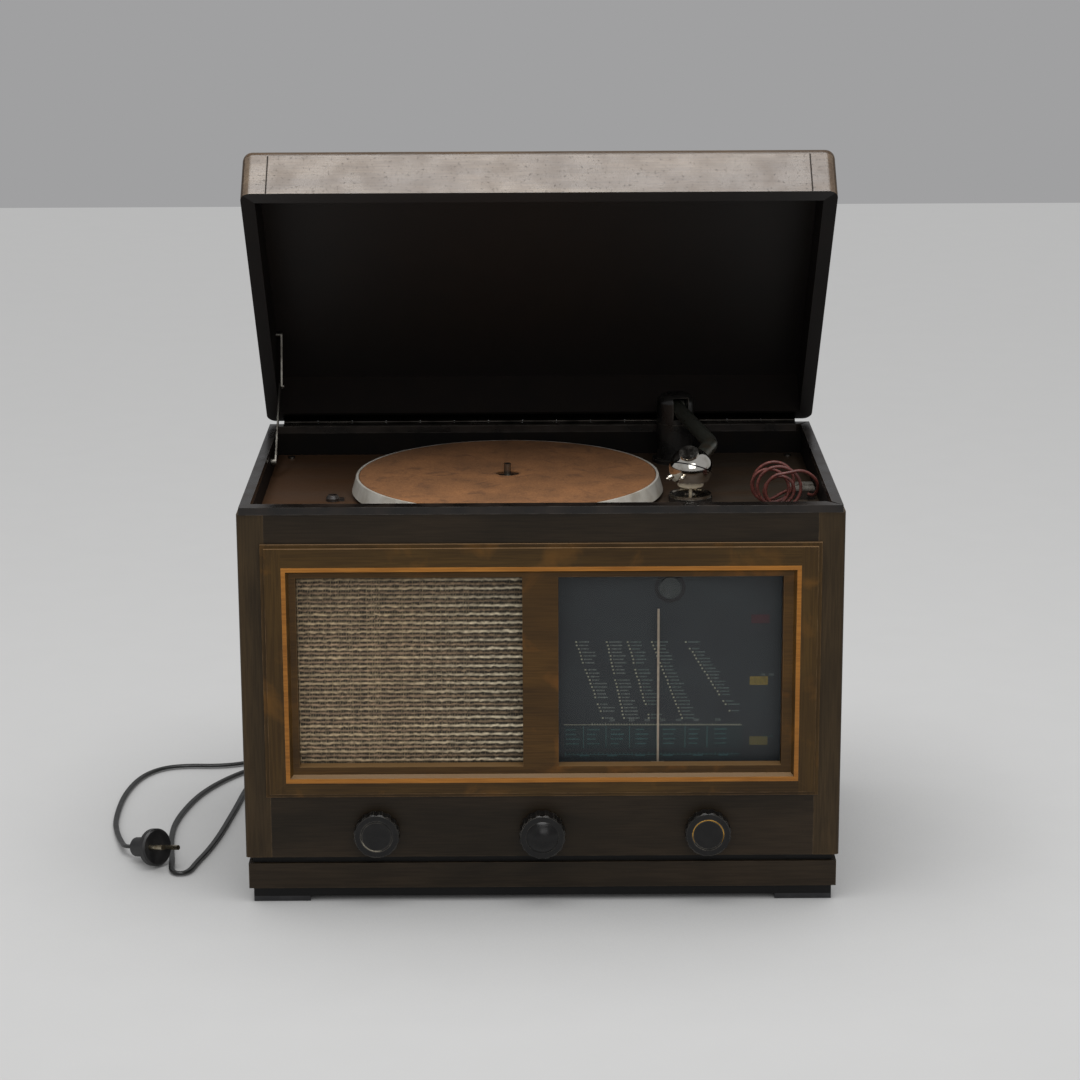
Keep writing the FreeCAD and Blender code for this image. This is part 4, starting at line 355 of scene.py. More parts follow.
MAINS_ROUTE = (
    (-200, 187, 80), (-200, 206, 78), (-204, 222, 64), (-213, 228, 44), (-226, 225, 24), (-243, 217, 9),
    (-262, 207, 3), (-280, 194, 3), (-294, 176, 3), (-303, 152, 3), (-308, 122, 3), (-311, 86, 3),
    (-315, 47, 3), (-321, -8, 3), (-328, -51, 3), (-336, -84, 3), (-341.5, -113.5, 3),
    (-357.5, -113.5, 3), (-360.5, -78, 3), (-366, -38, 3), (-369, -8, 3), (-369.5, 26, 3),
    (-365, 63, 3), (-356, 105, 3), (-343, 139, 3), (-328, 166, 3), (-311, 189, 3), (-289, 211, 3),
    (-260, 228, 3), (-222, 234, 3), (-184, 231, 3), (-154, 238, 3), (-134, 258, 3), (-133, 286, 3),
    (-152, 308, 3), (-183, 312, 3), (-216, 298, 3), (-246, 273, 3), (-272, 248, 3), (-297, 226, 3),
    (-320, 210, 3), (-346, 204, 3), (-375, 206, 3), (-399, 200, 3), (-415, 182, 3), (-425, 155, 3),
    (-431, 115, 3), (-432, 72, 3), (-430, 31, 3), (-426, 8, 3.2), (-421.5, -12, 4.2),
    (-416, -32, 5.6), (-412, -46, 7.2), (-407.8, -56.5, 9.3), (-397.6, -65.6, 12.4),
)
# The flex's width and its cores' radius, and the points round a core and the arc that they take up, in degrees
LEAD_WIDTH, LEAD_CORE = 5.6, 1.6
CORE_STEPS, CORE_ARC = 9, 220


def twin_flex(material):
    """Flat twin flex, its two cores side by side, lying flat on the floor."""
    curve = spline("mains_line", MAINS_ROUTE)
    bare = bpy.data.objects.new("mains_line", curve)
    line = bpy.data.meshes.new_from_object(bare)
    path = [v.co.copy() for v in line.vertices]
    bpy.data.objects.remove(bare)
    bpy.data.meshes.remove(line)
    bpy.data.curves.remove(curve)
    middle = LEAD_WIDTH / 2 - LEAD_CORE
    section = []
    for sign in (1, -1):
        for n in range(CORE_STEPS):
            turn = math.radians(CORE_ARC * (n / (CORE_STEPS - 1) - 0.5))
            section.append((sign * (middle + LEAD_CORE * math.cos(turn)), sign * LEAD_CORE * math.sin(turn)))
    points = []
    for n, at in enumerate(path):
        along = (path[min(n + 1, len(path) - 1)] - path[max(n - 1, 0)]).normalized()
        across = along.cross(Vector((0, 0, 1))).normalized()
        over = across.cross(along)
        points += [at + (across * u + over * v) * MM for u, v in section]
    flex = piece("mains_flex", points, capped(len(path), len(section)), material, "cabinet")
    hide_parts("mains_lead")


# Points in all the loops and in one turn, their mean radius, and the foot of the first
LOOP_POINTS, TURN_POINTS = 55, 12
LOOP_RADIUS, LOOP_PLACE = 17, (217, -60, 355.8)


def pickup_flex(material):
    """The pick-up's slack lead: loose upright loops on the deck between the two faces of its terminal block."""
    points = [(238, -34, 359.5), (235, -34, 359.5)]
    x, y, z = LOOP_PLACE
    for n in range(LOOP_POINTS):
        turns = n / TURN_POINTS
        loop = LOOP_RADIUS + 3.2 * math.sin(2.1 * turns)
        angle = -math.pi / 2 - 2 * math.pi * turns
        middle = x + 2.4 * turns + 2.5 * math.sin(3.3 * turns)
        points.append((middle + loop * math.cos(angle), y - 6.5 * turns, z + loop * (1 + math.sin(angle))))
    points += [(246, -87, 393), (259, -83, 384), (262.5, -76, 372), (260, -66, 362.5), (256, -51, 359.5),
               (256, -48, 359.5)]
    curve = spline("pickup_flex", points)
    curve.bevel_depth = 1.5 * MM
    curve.bevel_resolution = 5
    curve.use_fill_caps = True
    curve.materials.append(material)
    flex = bpy.data.objects.new("pickup_flex", curve)
    bpy.context.scene.collection.objects.link(flex)
    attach(flex, "cabinet")
    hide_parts("pickup_lead")


# PVC flex, extruded: satin black with a waxy grey bloom
flex_black = moulding("pvc_flex_extruded", "131413", "2b2c2b", "3c3d3c", (0.30, 0.48), wear=0.1, ior=1.53)
# Rubber lead, drawn and aged: dull maroon with paler bloom where it bends
flex_maroon = plain_stock("rubber_lead_aged", "6b342c", "44201b", 2.4, 0.5, 0.02)
twin_flex(flex_black)
pickup_flex(flex_maroon)


# Speaker cloth and felt

# Spacing of the cloth's rows, wave along a row and spacing of the warps, in millimetres, and the points of its mesh
ROW, WAVE, WARP = 4.15, 11.0, 2.35
CLOTH_MESH = (360, 272)
# The pale yarn and the duller one: half thickness, lift, how far warps shade it, and its colours at left and right
YARNS = ((1.34, 0.95, 0.30, "b39d7c", "cdbfa3"), (1.18, 0.80, 0.55, "a0866a", "7d6a52"))


def slub_cloth(material):
    """Coarse speaker cloth: thick slub yarns, a pale one and a duller one in turn, lumpy and waving, with thin warps
    that show as upright threads in the eyes between them. The eyes are painted near black as shade, and each yarn is
    painted darker towards its edges and where a warp crosses it, as shade. The right third is bleached."""
    low, high = (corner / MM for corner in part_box("grille_cloth"))
    across = np.linspace(low.x, high.x, CLOTH_MESH[0])
    tall = np.linspace(low.z, high.z, CLOTH_MESH[1])
    x, z = np.meshgrid(across, tall)
    count = int((high.z - low.z) / ROW) + 2
    bleached = np.clip((across - low.x) / (high.x - low.x) * 2.2 - 1.0, 0, 1)
    # The eyes between the yarns are painted near black: painted shade where the cloth looks into the dark behind it.
    gap_shade, warp = np.array(linear("0d0a07")[:3]), np.array(linear("b5a17c")[:3])
    place = x / WARP + 0.12 * np.sin(z / 5.0)
    strengths = np.random.default_rng(9).uniform(0.25, 1.0, 400)
    near_warp = strengths[np.floor(place).astype(int) % len(strengths)] * np.exp(-(((place % 1.0) - 0.5) / 0.17) ** 2)
    colour = gap_shade + near_warp[..., None] * (warp - gap_shade) * (0.9 - 0.55 * bleached)[None, :, None]
    height = 0.30 * near_warp
    for k in range(count):
        half, lift, shaded, *ends = YARNS[k % 2]
        slub = half * (1 + 0.24 * smooth_noise(200 + k, len(across), 90))
        drift = smooth_noise(300 + k, len(across), 30)
        shiver = smooth_noise(500 + k, len(across), 120)
        swing = 0.20 * (-1) ** k * np.sin(2 * math.pi * across / WAVE + 1.7 * drift) + 0.30 * drift + 0.34 * shiver
        off = np.abs(z - (low.z + ROW * k + swing)[None, :])
        inside = off < slub[None, :]
        rise = np.sqrt(np.clip(slub[None, :] ** 2 - off ** 2, 0, None)) * lift
        tint = np.random.default_rng(70 + k).uniform(0.82, 1.15)
        tint = tint * (1 + 0.34 * smooth_noise(400 + k, len(across), 100))
        # Each yarn is painted darker towards its edges and where a warp crosses over it: painted shade.
        shade = 0.34 + 0.66 * np.clip(1 - (off / slub[None, :]) ** 2, 0, 1)
        left, right = (np.array(linear(end)[:3]) for end in ends)
        body = left + bleached[None, :, None] * (right - left)
        crossing = 1 - shaded * near_warp * ((np.floor(place) + k) % 2)
        over = inside & (rise > height)
        colour[over] = (body * (tint[None, :] * shade * crossing)[..., None])[over]
        height = np.where(over, rise * (0.86 + 0.14 * crossing), height)
    front = high.y - 0.15 - height * (high.y - low.y - 0.3) / height.max()
    points = np.stack([x, front, z], axis=-1).reshape(-1, 3) * MM
    wide = len(across)
    faces = [(r * wide + c, r * wide + c + 1, (r + 1) * wide + c + 1, (r + 1) * wide + c)
             for r in range(len(tall) - 1) for c in range(wide - 1)]
    cloth = piece("speaker_cloth", points, faces, material, "cabinet")
    paint = cloth.data.color_attributes.new("yarn", "FLOAT_COLOR", "POINT")
    paint.data.foreach_set("color", np.concatenate([colour.reshape(-1, 3), np.ones((x.size, 1))], 1).ravel())
    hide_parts("grille_cloth")


def felt_disc(material):
    """A round felt mat, soft at its edge, with a hole for the spindle's washer."""
    low, high = (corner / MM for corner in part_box("felt_mat"))
    outer, inner, steps = (high.x - low.x) / 2, 11.3, 220
    radii = np.concatenate([[outer, outer, outer - 0.35, outer - 1.1], np.linspace(outer - 3, inner + 1, 54),
                            [inner + 0.3, inner, inner]])
    heights = np.full(len(radii), high.z)
    heights[[0, -1]] = low.z
    heights[1:4] = high.z - np.array([1.3, 0.55, 0.12])
    heights[-2] = high.z - 0.5
    random = np.random.default_rng(11)
    points = []
    for r, h in zip(radii, heights):
        fuzz = random.uniform(-0.10, 0.0, steps) if h == high.z else np.zeros(steps)
        for i in range(steps):
            turn = 2 * math.pi * i / steps
            x, y = PLATTER[0] + r * math.cos(turn), PLATTER[1] + r * math.sin(turn)
            points.append(Vector((x, y, h + fuzz[i])) * MM)
    last = (len(radii) - 1) * steps
    faces = rings(len(radii), steps)
    faces += [(last + i, last + (i + 1) % steps, (i + 1) % steps, i) for i in range(steps)]
    felt = piece("turntable_felt", points, faces, material, "turntable")
    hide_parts("felt_mat")


def cloth_finish():
    """Rayon and cotton slub, woven: matt yarns with a faint fibre sheen, and painted shade in the eyes."""
    material, tree, shader = finish("slub_yarn_woven", Roughness=0.88, Sheen_Weight=0.1)
    yarn = add(tree, "VertexColor", layer_name="yarn")
    fibre = add(tree, "ValToRGB", {0: grain(tree, "X", 0.7, 5.0, 3)}, stops=[(0.3, "a0a0a0"), (0.7, "ffffff")])
    colour = add(tree, "Mix", {0: 0.8, 6: yarn, 7: fibre}, 2, data_type="RGBA", blend_type="MULTIPLY")
    relief = add(tree, "Bump", {"Height": grain(tree, "X", 0.5, 4.0, 3), "Distance": 0.12 * MM, "Strength": 0.6})
    wire(tree, shader, Base_Color=colour, Normal=relief)
    return material


def felt_finish():
    """Wool felt, pressed: warm brown, with soft dark smudges where records and hands have lain."""
    material, tree, shader = finish("wool_felt_pressed", Roughness=0.96)
    nap = add(tree, "ValToRGB", {0: grain(tree, "", 1.4, 1.4, 4)}, stops=[(0.30, "c2bab2"), (0.66, "ffffff")])
    tone = add(tree, "ValToRGB", {0: grain(tree, "", 46, 46, 5)}, stops=[(0.32, "6b4726"), (0.68, "885b33")])
    smudge = add(tree, "MapRange", {0: grain(tree, "", 17, 17, 7, 0.8), 1: 0.54, 2: 0.70, 3: 0.0, 4: 0.6})
    colour = add(tree, "Mix", {0: smudge, 6: tone, 7: "54361c"}, 2, data_type="RGBA")
    colour = add(tree, "Mix", {0: 0.8, 6: colour, 7: nap}, 2, data_type="RGBA", blend_type="MULTIPLY")
    relief = add(tree, "Bump", {"Height": grain(tree, "", 0.9, 0.9, 5), "Distance": 0.3 * MM, "Strength": 0.6})
    wire(tree, shader, Base_Color=colour, Normal=relief)
    return material


slub_cloth(cloth_finish())
felt_disc(felt_finish())


# Print on the dial: slanting columns of marks, two scales with numbers, and the wave-band windows

# How far a mark, a number and a wash of colour stand proud of the plate, in millimetres
MARK_PROUD, NUMBER_PROUD, WASH_PROUD = 0.15, 0.16, 0.05


def marks(name, quads, material, proud=MARK_PROUD):
    """Flat marks on the dial plate. A quad is its four corners, (x, z) in millimetres."""
    points, faces = [], []
    for quad in quads:
        faces.append(range(len(points), len(points) + 4))
        points += [Vector((x, DIAL_FACE - proud, z)) * MM for x, z in quad]
    return piece(name, points, faces, material, "cabinet", smooth=False)


def bar(x, z, wide, tall):
    """An upright mark, by its middle."""
    return [(x - wide / 2, z - tall / 2), (x + wide / 2, z - tall / 2), (x + wide / 2, z + tall / 2),
            (x - wide / 2, z + tall / 2)]


def numbers(name, rows, material):
    """Printed numbers: (text, x, z, height) each, as one mesh."""
    points, faces = [], []
    for text, x, z, tall in rows:
        words = bpy.data.curves.new("number", "FONT")
        words.body = text
        words.size = tall * MM
        words.align_x = "CENTER"
        words.align_y = "CENTER"
        words.resolution_u = 2
        holder = bpy.data.objects.new("number", words)
        flat = bpy.data.meshes.new_from_object(holder)
        start = len(points)
        y = DIAL_FACE - NUMBER_PROUD
        points += [Vector((x * MM + v.co.x, y * MM, z * MM + v.co.y)) for v in flat.vertices]
        faces += [[start + i for i in polygon.vertices] for polygon in flat.polygons]
        bpy.data.objects.remove(holder)
        bpy.data.meshes.remove(flat)
        bpy.data.curves.remove(words)
    return piece(name, points, faces, material, "cabinet", smooth=False)


def ink(name, pale, dark, wide=3.0):
    """Dial ink, printed: matt and flat, thin enough to look a little uneven."""
    return plain_stock(f"dial_ink_{name}", pale, dark, wide, rough=0.6, deep=0.0)


# The top and foot of each column of marks, the numbers of the long scale, and the rows and columns of the lower block
COLUMNS = (((32.0, 247.1), (57.2, 172.9)), ((60.8, 246.9), (76.8, 172.8)), ((80.3, 246.8), (100.1, 172.7)),
           ((102.6, 246.7), (131.0, 172.5)), ((134.1, 246.5), (177.6, 176.2)))
SCALE = (("200", 65.6), ("250", 83.8), ("300", 98.3), ("350", 112.8), ("400", 127.7), ("500", 144.1), ("550", 164.4))
SCALE_HEIGHT, SCALE_SIZE, BAND_SIZE = 170.6, 3.6, 3.4
COLUMN_MARKS = 23
BLOCK_ROWS = (161.5, 156.9, 152.3, 147.7)
BLOCK_COLUMNS = (29, 49, 71, 94, 120, 144, 168)
BLOCK_LINES = (38.9, 60.0, 82.0, 107.2, 133.9, 154.5)
EYE_RING, RING_STEPS = (11.0, 14.4), 48
WINDOW = (17.0, 8.4)
WINDOWS = (("red", (202.9, 268.6), "52262a", "431f24"), ("amber", (202.2, 208.7), "87752f", "6e5f28"),
           ("ochre", (202.6, 150.0), "736a3b", "5c5530"))


def dial_print():
    """All that is printed on the dial plate: rows of marks, scale lines and plain numbers, with a ring of painted
    shade round the magic eye.
    """
    cream = ink("printed_cream", "a9a791", "918f7a")
    faded = ink("printed_faded", "858b85", "6a706c")
    grey = ink("printed_grey", "737f7a", "5a6562")
    teal = ink("printed_teal", "44696a", "365354", 8.0)
    wash = ink("washed_teal", "2c3839", "283234", 8.0)
    random = np.random.default_rng(5)
    dots, pale_rows, grey_rows, teal_rows = [], [], [], []
    for column, ((x0, z0), (x1, z1)) in enumerate(COLUMNS):
        row = pale_rows if column < 2 else grey_rows
        for n in range(COLUMN_MARKS):
            share = n / (COLUMN_MARKS - 1)
            x, z = x0 + (x1 - x0) * share + random.uniform(-0.5, 0.5), z0 + (z1 - z0) * share
            if random.uniform() < 0.06:
                continue
            dots.append(bar(x, z, 1.6, 1.4))
            run, end = x + 2.4, x + 2.4 + random.uniform(6.0, 12.0)
            while run < end:
                wide = random.uniform(0.5, 0.9)
                row.append(bar(run + wide / 2, z, wide, random.uniform(0.9, 1.5)))
                run += wide + 0.5
    dots.append([(20.7, 166.2), (187.1, 165.2), (187.1, 165.7), (20.7, 166.7)])
    for n in range(56):
        dots.append(bar(47 + 2.5 * n, 167.0 - 0.015 * n, 0.5, 1.2 if n % 5 else 2.2))
    for z in BLOCK_ROWS:
        for x in BLOCK_COLUMNS:
            run, end = x - 6, x + random.uniform(1.0, 6.0)
            while run < end:
                wide = random.uniform(0.7, 1.1)
                teal_rows.append(bar(run, z, wide, random.uniform(1.1, 1.5)))
                run += wide + 0.4
    teal_rows += [bar(x, 154.3, 0.6, 21.5) for x in BLOCK_LINES]
    teal_rows += [bar(22 + 3.9 * n, 137.6, 0.7, 1.5 if n % 4 else 2.8) for n in range(42)]
    teal_rows += [bar(104, 136.9, 164, 0.5)] + [bar(x, 136.1, 9.0, 1.5) for x in (40, 66, 92, 118, 146, 170)]
    block = [[(20.7, 142.8), (187.3, 142.5), (187.3, 164.8), (20.7, 165.2)],
             [(20.7, 133.2), (184.7, 132.8), (184.7, 139.2), (20.7, 139.8)]]
    marks("dial_print_field", block, wash, WASH_PROUD)
    marks("dial_print_marks", dots, cream)
    marks("dial_print_names", pale_rows, faded)
    marks("dial_print_rows", grey_rows, grey)
    marks("dial_print_bands", teal_rows, teal)
    rows = [(text, x, SCALE_HEIGHT, SCALE_SIZE) for text, x in SCALE]
    rows.append(("195 - 580", 209.8, 214.5, BAND_SIZE))
    numbers("dial_print_numbers", rows, faded)
    numbers("dial_print_band_numbers", [("16 - 50", 211.3, 154.2, BAND_SIZE)], teal)
    # A dark ring on the plate round the magic eye: painted shade.
    low, high = (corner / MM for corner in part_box("magic_eye"))
    inner, outer = EYE_RING
    ring = []
    for n in range(RING_STEPS):
        start, stop = (2 * math.pi * (n + step) / RING_STEPS for step in (0, 1))
        ring.append([((low.x + high.x) / 2 + r * math.cos(turn), (low.z + high.z) / 2 + r * math.sin(turn))
                     for r, turn in ((inner, start), (outer, start), (outer, stop), (inner, stop))])
    marks("dial_eye_shade", ring, ink("eye_ring_shade", "211d1c", "1c1918", 6.0), WASH_PROUD)
    for name, at, paint, shade in WINDOWS:
        # Celluloid, dyed and rolled: a smooth, dim glow of colour
        glow = plain_stock(f"band_window_celluloid_{name}", paint, shade, 4.0, rough=0.35, deep=0.0)
        marks(f"band_window_{name}", [bar(*at, *WINDOW)], glow)


dial_print()


# An arc of brass leaf in the groove of the tone knob, and a painted highlight in the groove of the volume knob

# The groove's radius, and the arc's half width, half thickness and depth below the knob's face, in millimetres
GROOVE, ARC_WIDE, ARC_THICK, ARC_SUNK = 14.4, 0.62, 0.34, 0.40
ARC_SIDES = 10


def knob_ring(name, x, start, stop, material, body):
    """An arc in the groove of a knob's face, leaf metal or a painted highlight, from one angle to another, ending in
    a taper.
    """
    points = []
    for n in range(RING_STEPS + 1):
        turn = math.radians(start + (stop - start) * n / RING_STEPS)
        taper = min(1.0, 6 * min(n, RING_STEPS - n) / RING_STEPS + 0.08)
        for i in range(ARC_SIDES):
            side = 2 * math.pi * i / ARC_SIDES
            r = GROOVE + ARC_WIDE * taper * math.cos(side)
            y = KNOB_FACE + ARC_SUNK - ARC_THICK * taper * math.sin(side)
            points.append(Vector((x + r * math.cos(turn), y, KNOB_HEIGHT + r * math.sin(turn))) * MM)
    piece(name, points, capped(RING_STEPS + 1, ARC_SIDES), material, body)


# Brass leaf, rolled: warm, patchy, mostly rubbed away
leaf_brass = plate("brass_leaf_rolled", "c79a4e", "7a5a2b", (0.25, 0.5), spots=5.0)
# A painted highlight: a dull pale arc where light catches the groove of the volume knob
groove_highlight = plain_stock("pale_highlight_painted", "8f8878", "6a6458", 1.5, rough=0.6, deep=0.0)
knob_ring("tone_knob_ring", KNOB_PLACE, -35, 215, leaf_brass, "tone_control")
knob_ring("volume_knob_highlight", -KNOB_PLACE, 195, 290, groove_highlight, "volume_control")


# Finishes of the solids

# Walnut veneer, varnished and aged: brown clouds under a dulled gloss, pale where the edges are rubbed
dress(timber("walnut_varnished_posts", "Z", "443520", "302515", "7d6547"), "corner_posts")
dress(timber("walnut_varnished_rails", "X", "2e2418", "20190f", "5c4d3c"), "front_rails", "plinth")
# The frame and the surround get a paler colour on faces that look up: painted light from above.
dress(timber("walnut_varnished_frame", "frame", "483414", "35250e", "86694a", gloss=(0.30, 0.44), wear=0.5,
             amber="5e3f16", top_lit_colour="7a6145"),
      "fascia_frame")
dress(timber("walnut_varnished_surround", "X", "513815", "3d2a10", "7d6243", amber="6b4417", top_lit_colour="745a3a"),
      "window_surround")
dress(timber("walnut_varnished_sides", "Y", "3f3020", "2f2316", "7d6547", stained=inside_cabinet),
      "left_side_panel", "right_side_panel")
# Walnut veneer, polished: a clearer gloss, pitted on the front wall, and black stain on the inner faces
# The lid's front wall is paler and greyer than its top board: partly a haze in the old varnish, partly painted sheen
# from the light above.
dress(timber("walnut_polished_lid", "X", "665747", "524437", "7d6a55", gloss=(0.22, 0.40), patch=26, wear=0.2,
             level=0.5, stained=inside_lid, lines=(253.5,), specks=0.55), "lid_front")
dress(timber("walnut_polished_lid_board", "X", "4b3a28", "392b1d", "7d6a55", gloss=(0.24, 0.40), patch=40, wear=0.2,
             level=0.5, stained=inside_lid), "lid_top")
dress(timber("walnut_polished_lid_sides", "Y", "4b3a25", "37291a", "86694a", stained=inside_lid), "lid_frame")
# Black lacquer, brushed: a soft gloss on the rim, duller with dust on the base
dress(lacquer("lacquer_black_rim", "110e0c", "221b16", "5b5652", (0.22, 0.36), level=0.4), "rim_lipping")
dress(lacquer("lacquer_black_base", "090909", "0f0e0d", "2a2723", (0.4, 0.6), wear=0.4, level=0.25), "base_frame")
# Black stain, wiped on: brown-black with hardly any shine
dress(lacquer("stain_black_rail", "070504", "0f0a06", "1f1812", (0.5, 0.7), wear=0.3, level=0.1), "back_rail")
# Maple stringing, sawn and let in: orange under the same varnish
dress(timber("maple_inlay_varnished", "frame", "a16a2a", "8f5d25", "b98645", gloss=(0.3, 0.45), wear=0.2),
      "inlay_bead")
# Plywood, sawn and left raw: dry, matt and yellow-brown
dress(plain_stock("plywood_raw_sawn", "8a6c48", "6a5034", 2.6, 0.85), "bottom_board", "speaker_baffle")
# Fibreboard, pressed: a brown mottle of short fibres
dress(plain_stock("fibreboard_pressed", "6b4f33", "523b26", 1.8, 0.8), "back_cover")
# Paper laminate, pressed with resin: dark brown with a low gloss
dress(plain_stock("paper_laminate_pressed", "3a2a1c", "281c12", 3.0, 0.4), "socket_strip")
# Cone paper, pressed from pulp: grey-black and rough
dress(plain_stock("cone_paper_pressed", "3a3731", "2a2824", 2.0, 0.9, deep=0.15), "speaker_cone")
# Rubber, moulded: dull black with a grey bloom
dress(moulding("rubber_black_moulded", "17171a", "2c2c2e", "4b4b4b", (0.45, 0.65), wear=0.3, ior=1.52), "feet",
      "cord_bush")
# Phenolic, moulded: deep black under fine dust, greyed on the edges that fingers hold
dress(moulding("phenolic_knob_moulded", "0d0c0c", "191817", "7d776d", (0.22, 0.38), wear=0.7, level=0.25),
      "volume_knob", "tuning_knob", "tone_knob")
dress(moulding("phenolic_plug_moulded", "131314", "262424", "4a4644", (0.36, 0.55), wear=0.5), "plug_body")
dress(moulding("phenolic_lever_moulded", "191513", "332a24", "8a7a6c"), "speed_lever")
# Nickel plate, turned: pale and satin, with a dull film over the metal
dress(plate("nickel_platter_turned", "e8e4da", "b3ab9c", (0.30, 0.44), spots=26, metal=0.55), "platter")
# Steel, turned: bright grey going brown
dress(plate("steel_screw_turned", "8e8a82", "4c463d", (0.2, 0.4), spots=9), "spindle", "screws")
# Steel strap, rolled: flat grey with darker clouds
dress(plate("steel_strap_rolled", "6d6a64", "45413b", (0.3, 0.5), spots=14), "stay_lower_arm", "stay_upper_arm")
# Steel, blued: nearly black with a soft shine
dress(plate("steel_hinge_blued", "2e2b28", "161412", (0.24, 0.46), spots=20), "hinge_cabinet_leaf", "hinge_lid_leaf")
# Steel sheet, pressed and cadmium-plated: dull grey in broad patches
dress(plate("cadmium_sheet_pressed", "8d8b84", "635f55", (0.3, 0.5), spots=40), "chassis", "screening_cans",
      "tuning_capacitor", "tuning_rotor", "speaker_frame")
# Brass pins, turned and plated: pale, with yellow metal worn through
dress(plate("brass_pins_turned", "a39a86", "6a5a3c", (0.22, 0.45), spots=6), "plug_pins")
# Black enamel, stoved: dusty on the iron parts, glossy on the arm's pillar
dress(lacquer("enamel_black_transformer", "191817", "2a2826", "5c5750"), "mains_transformer", "motor")
dress(lacquer("enamel_black_pillar", "0f0e0d", "1c1a18", "6c665c", (0.2, 0.36), wear=0.7), "arm_base", "arm_turret")


def deck_finish():
    """Deal board, brown-stained: warm at the left and darker towards the right, dull with dust."""
    material, tree, shader = finish("deal_stained_deck", IOR=1.45)
    cloud = grain(tree, "X", 30, 120, 6)
    shift = add(tree, "MapRange", {0: cloud, 1: 0.3, 2: 0.7, 3: -110.0, 4: 110.0})
    shifted = add(tree, "Math", {0: place_of(tree)[0], 1: shift}, operation="ADD")
    across = add(tree, "MapRange", {0: shifted, 1: -DECK_SIDE, 2: DECK_SIDE})
    colour = add(tree, "ValToRGB", {0: across}, stops=[(0.0, "442e1c"), (1.0, "2c2217")])
    rough = add(tree, "MapRange", {0: cloud, 1: 0.35, 2: 0.68, 3: 0.46, 4: 0.66})
    relief = add(tree, "Bump", {"Height": grain(tree, "X", 1.5, 34, 3), "Distance": 0.06 * MM, "Strength": 0.3})
    wire(tree, shader, Base_Color=colour, Roughness=rough, Normal=relief)
    return material


dress(deck_finish(), "motor_board")


# How far from the head's middle the bare collar ends, and where the worn stretch of tube begins and ends
COLLAR_END, WORN_FROM, WORN_TO = 25.2, 34.0, 80.0


def arm_finish():
    """Nickel-brass tube, drawn: a dark grey-green, worn to brown near the head, its collar bright and bare."""
    material, tree, shader = finish("nickel_tube_drawn", Metallic=0.85)
    x, y, z = place_of(tree, HEAD)
    squares = [add(tree, "Math", {0: part, 1: part}, operation="MULTIPLY") for part in (x, y, z)]
    flat = add(tree, "Math", {0: squares[0], 1: squares[1]}, operation="ADD")
    far = add(tree, "Math", {0: add(tree, "Math", {0: flat, 1: squares[2]}, operation="ADD")}, operation="SQRT")
    collar = add(tree, "Math", {0: far, 1: COLLAR_END}, operation="LESS_THAN")
    bend = add(tree, "MapRange", {0: far, 1: WORN_TO, 2: WORN_FROM, 3: 0.1, 4: 0.85})
    patches = add(tree, "MapRange", {0: grain(tree, "", 11, 11, 7), 1: 0.45, 2: 0.62, 3: 0.0, 4: 1.0})
    brown = add(tree, "Math", {0: patches, 1: bend}, operation="MULTIPLY")
    tube = add(tree, "Mix", {0: brown, 6: "5f6159", 7: "54402c"}, 2, data_type="RGBA")
    colour = add(tree, "Mix", {0: collar, 6: tube, 7: "d8d0be"}, 2, data_type="RGBA")
    gloss = add(tree, "MapRange", {0: grain(tree, "", 8, 8, 5), 1: 0.3, 2: 0.7, 3: 0.26, 4: 0.42})
    relief = add(tree, "Bump", {"Height": grain(tree, "", 0.9, 0.9, 4), "Distance": 0.02 * MM, "Strength": 0.3})
    wire(tree, shader, Base_Color=colour, Roughness=gloss, Normal=relief)
    return material


dress(arm_finish(), "arm_tube")

# The way that the seam round the head faces, and half its width in millimetres
SEAM, SEAM_HALF = (0.2243, 0.3746, 0.8996), 0.62


def head_finish():
    """Chrome, plated over a die casting: a clear mirror with hazy spots, and its seam's groove painted black as
    shade.
    """
    material, tree, shader = finish("chrome_head_plated")
    place = add(tree, "TexCoord", out="Object")
    from_head = add(tree, "VectorMath", {0: place, 1: Vector(HEAD) * MM}, operation="SUBTRACT")
    off = add(tree, "VectorMath", {0: from_head, 1: SEAM}, "Value", operation="DOT_PRODUCT")
    near = add(tree, "Math", {0: off}, operation="ABSOLUTE")
    seam = add(tree, "Math", {0: near, 1: SEAM_HALF * MM}, operation="LESS_THAN")
    haze = add(tree, "MapRange", {0: grain(tree, "", 9, 9, 7), 1: 0.48, 2: 0.70, 3: 0.0, 4: 0.6})
    chrome = add(tree, "Mix", {0: haze, 6: "dedad2", 7: "a59c8c"}, 2, data_type="RGBA")
    # The seam's groove is painted black and not metallic: painted shade in the groove.
    colour = add(tree, "Mix", {0: seam, 6: chrome, 7: "0b0a09"}, 2, data_type="RGBA")
    gloss = add(tree, "MapRange", {0: grain(tree, "", 7, 7, 6), 1: 0.35, 2: 0.7, 3: 0.05, 4: 0.18})
    wire(tree, shader, Base_Color=colour, Metallic=add(tree, "Math", {0: 1.0, 1: seam}, operation="SUBTRACT"),
         Roughness=gloss)
    return material


dress(head_finish(), "pickup_head")
# Nickel, turned and plated: a small bright screw, hardly dulled
dress(plate("nickel_screw_turned", "dcd5c8", "a39a8a", (0.08, 0.2), spots=6), "needle_holder")


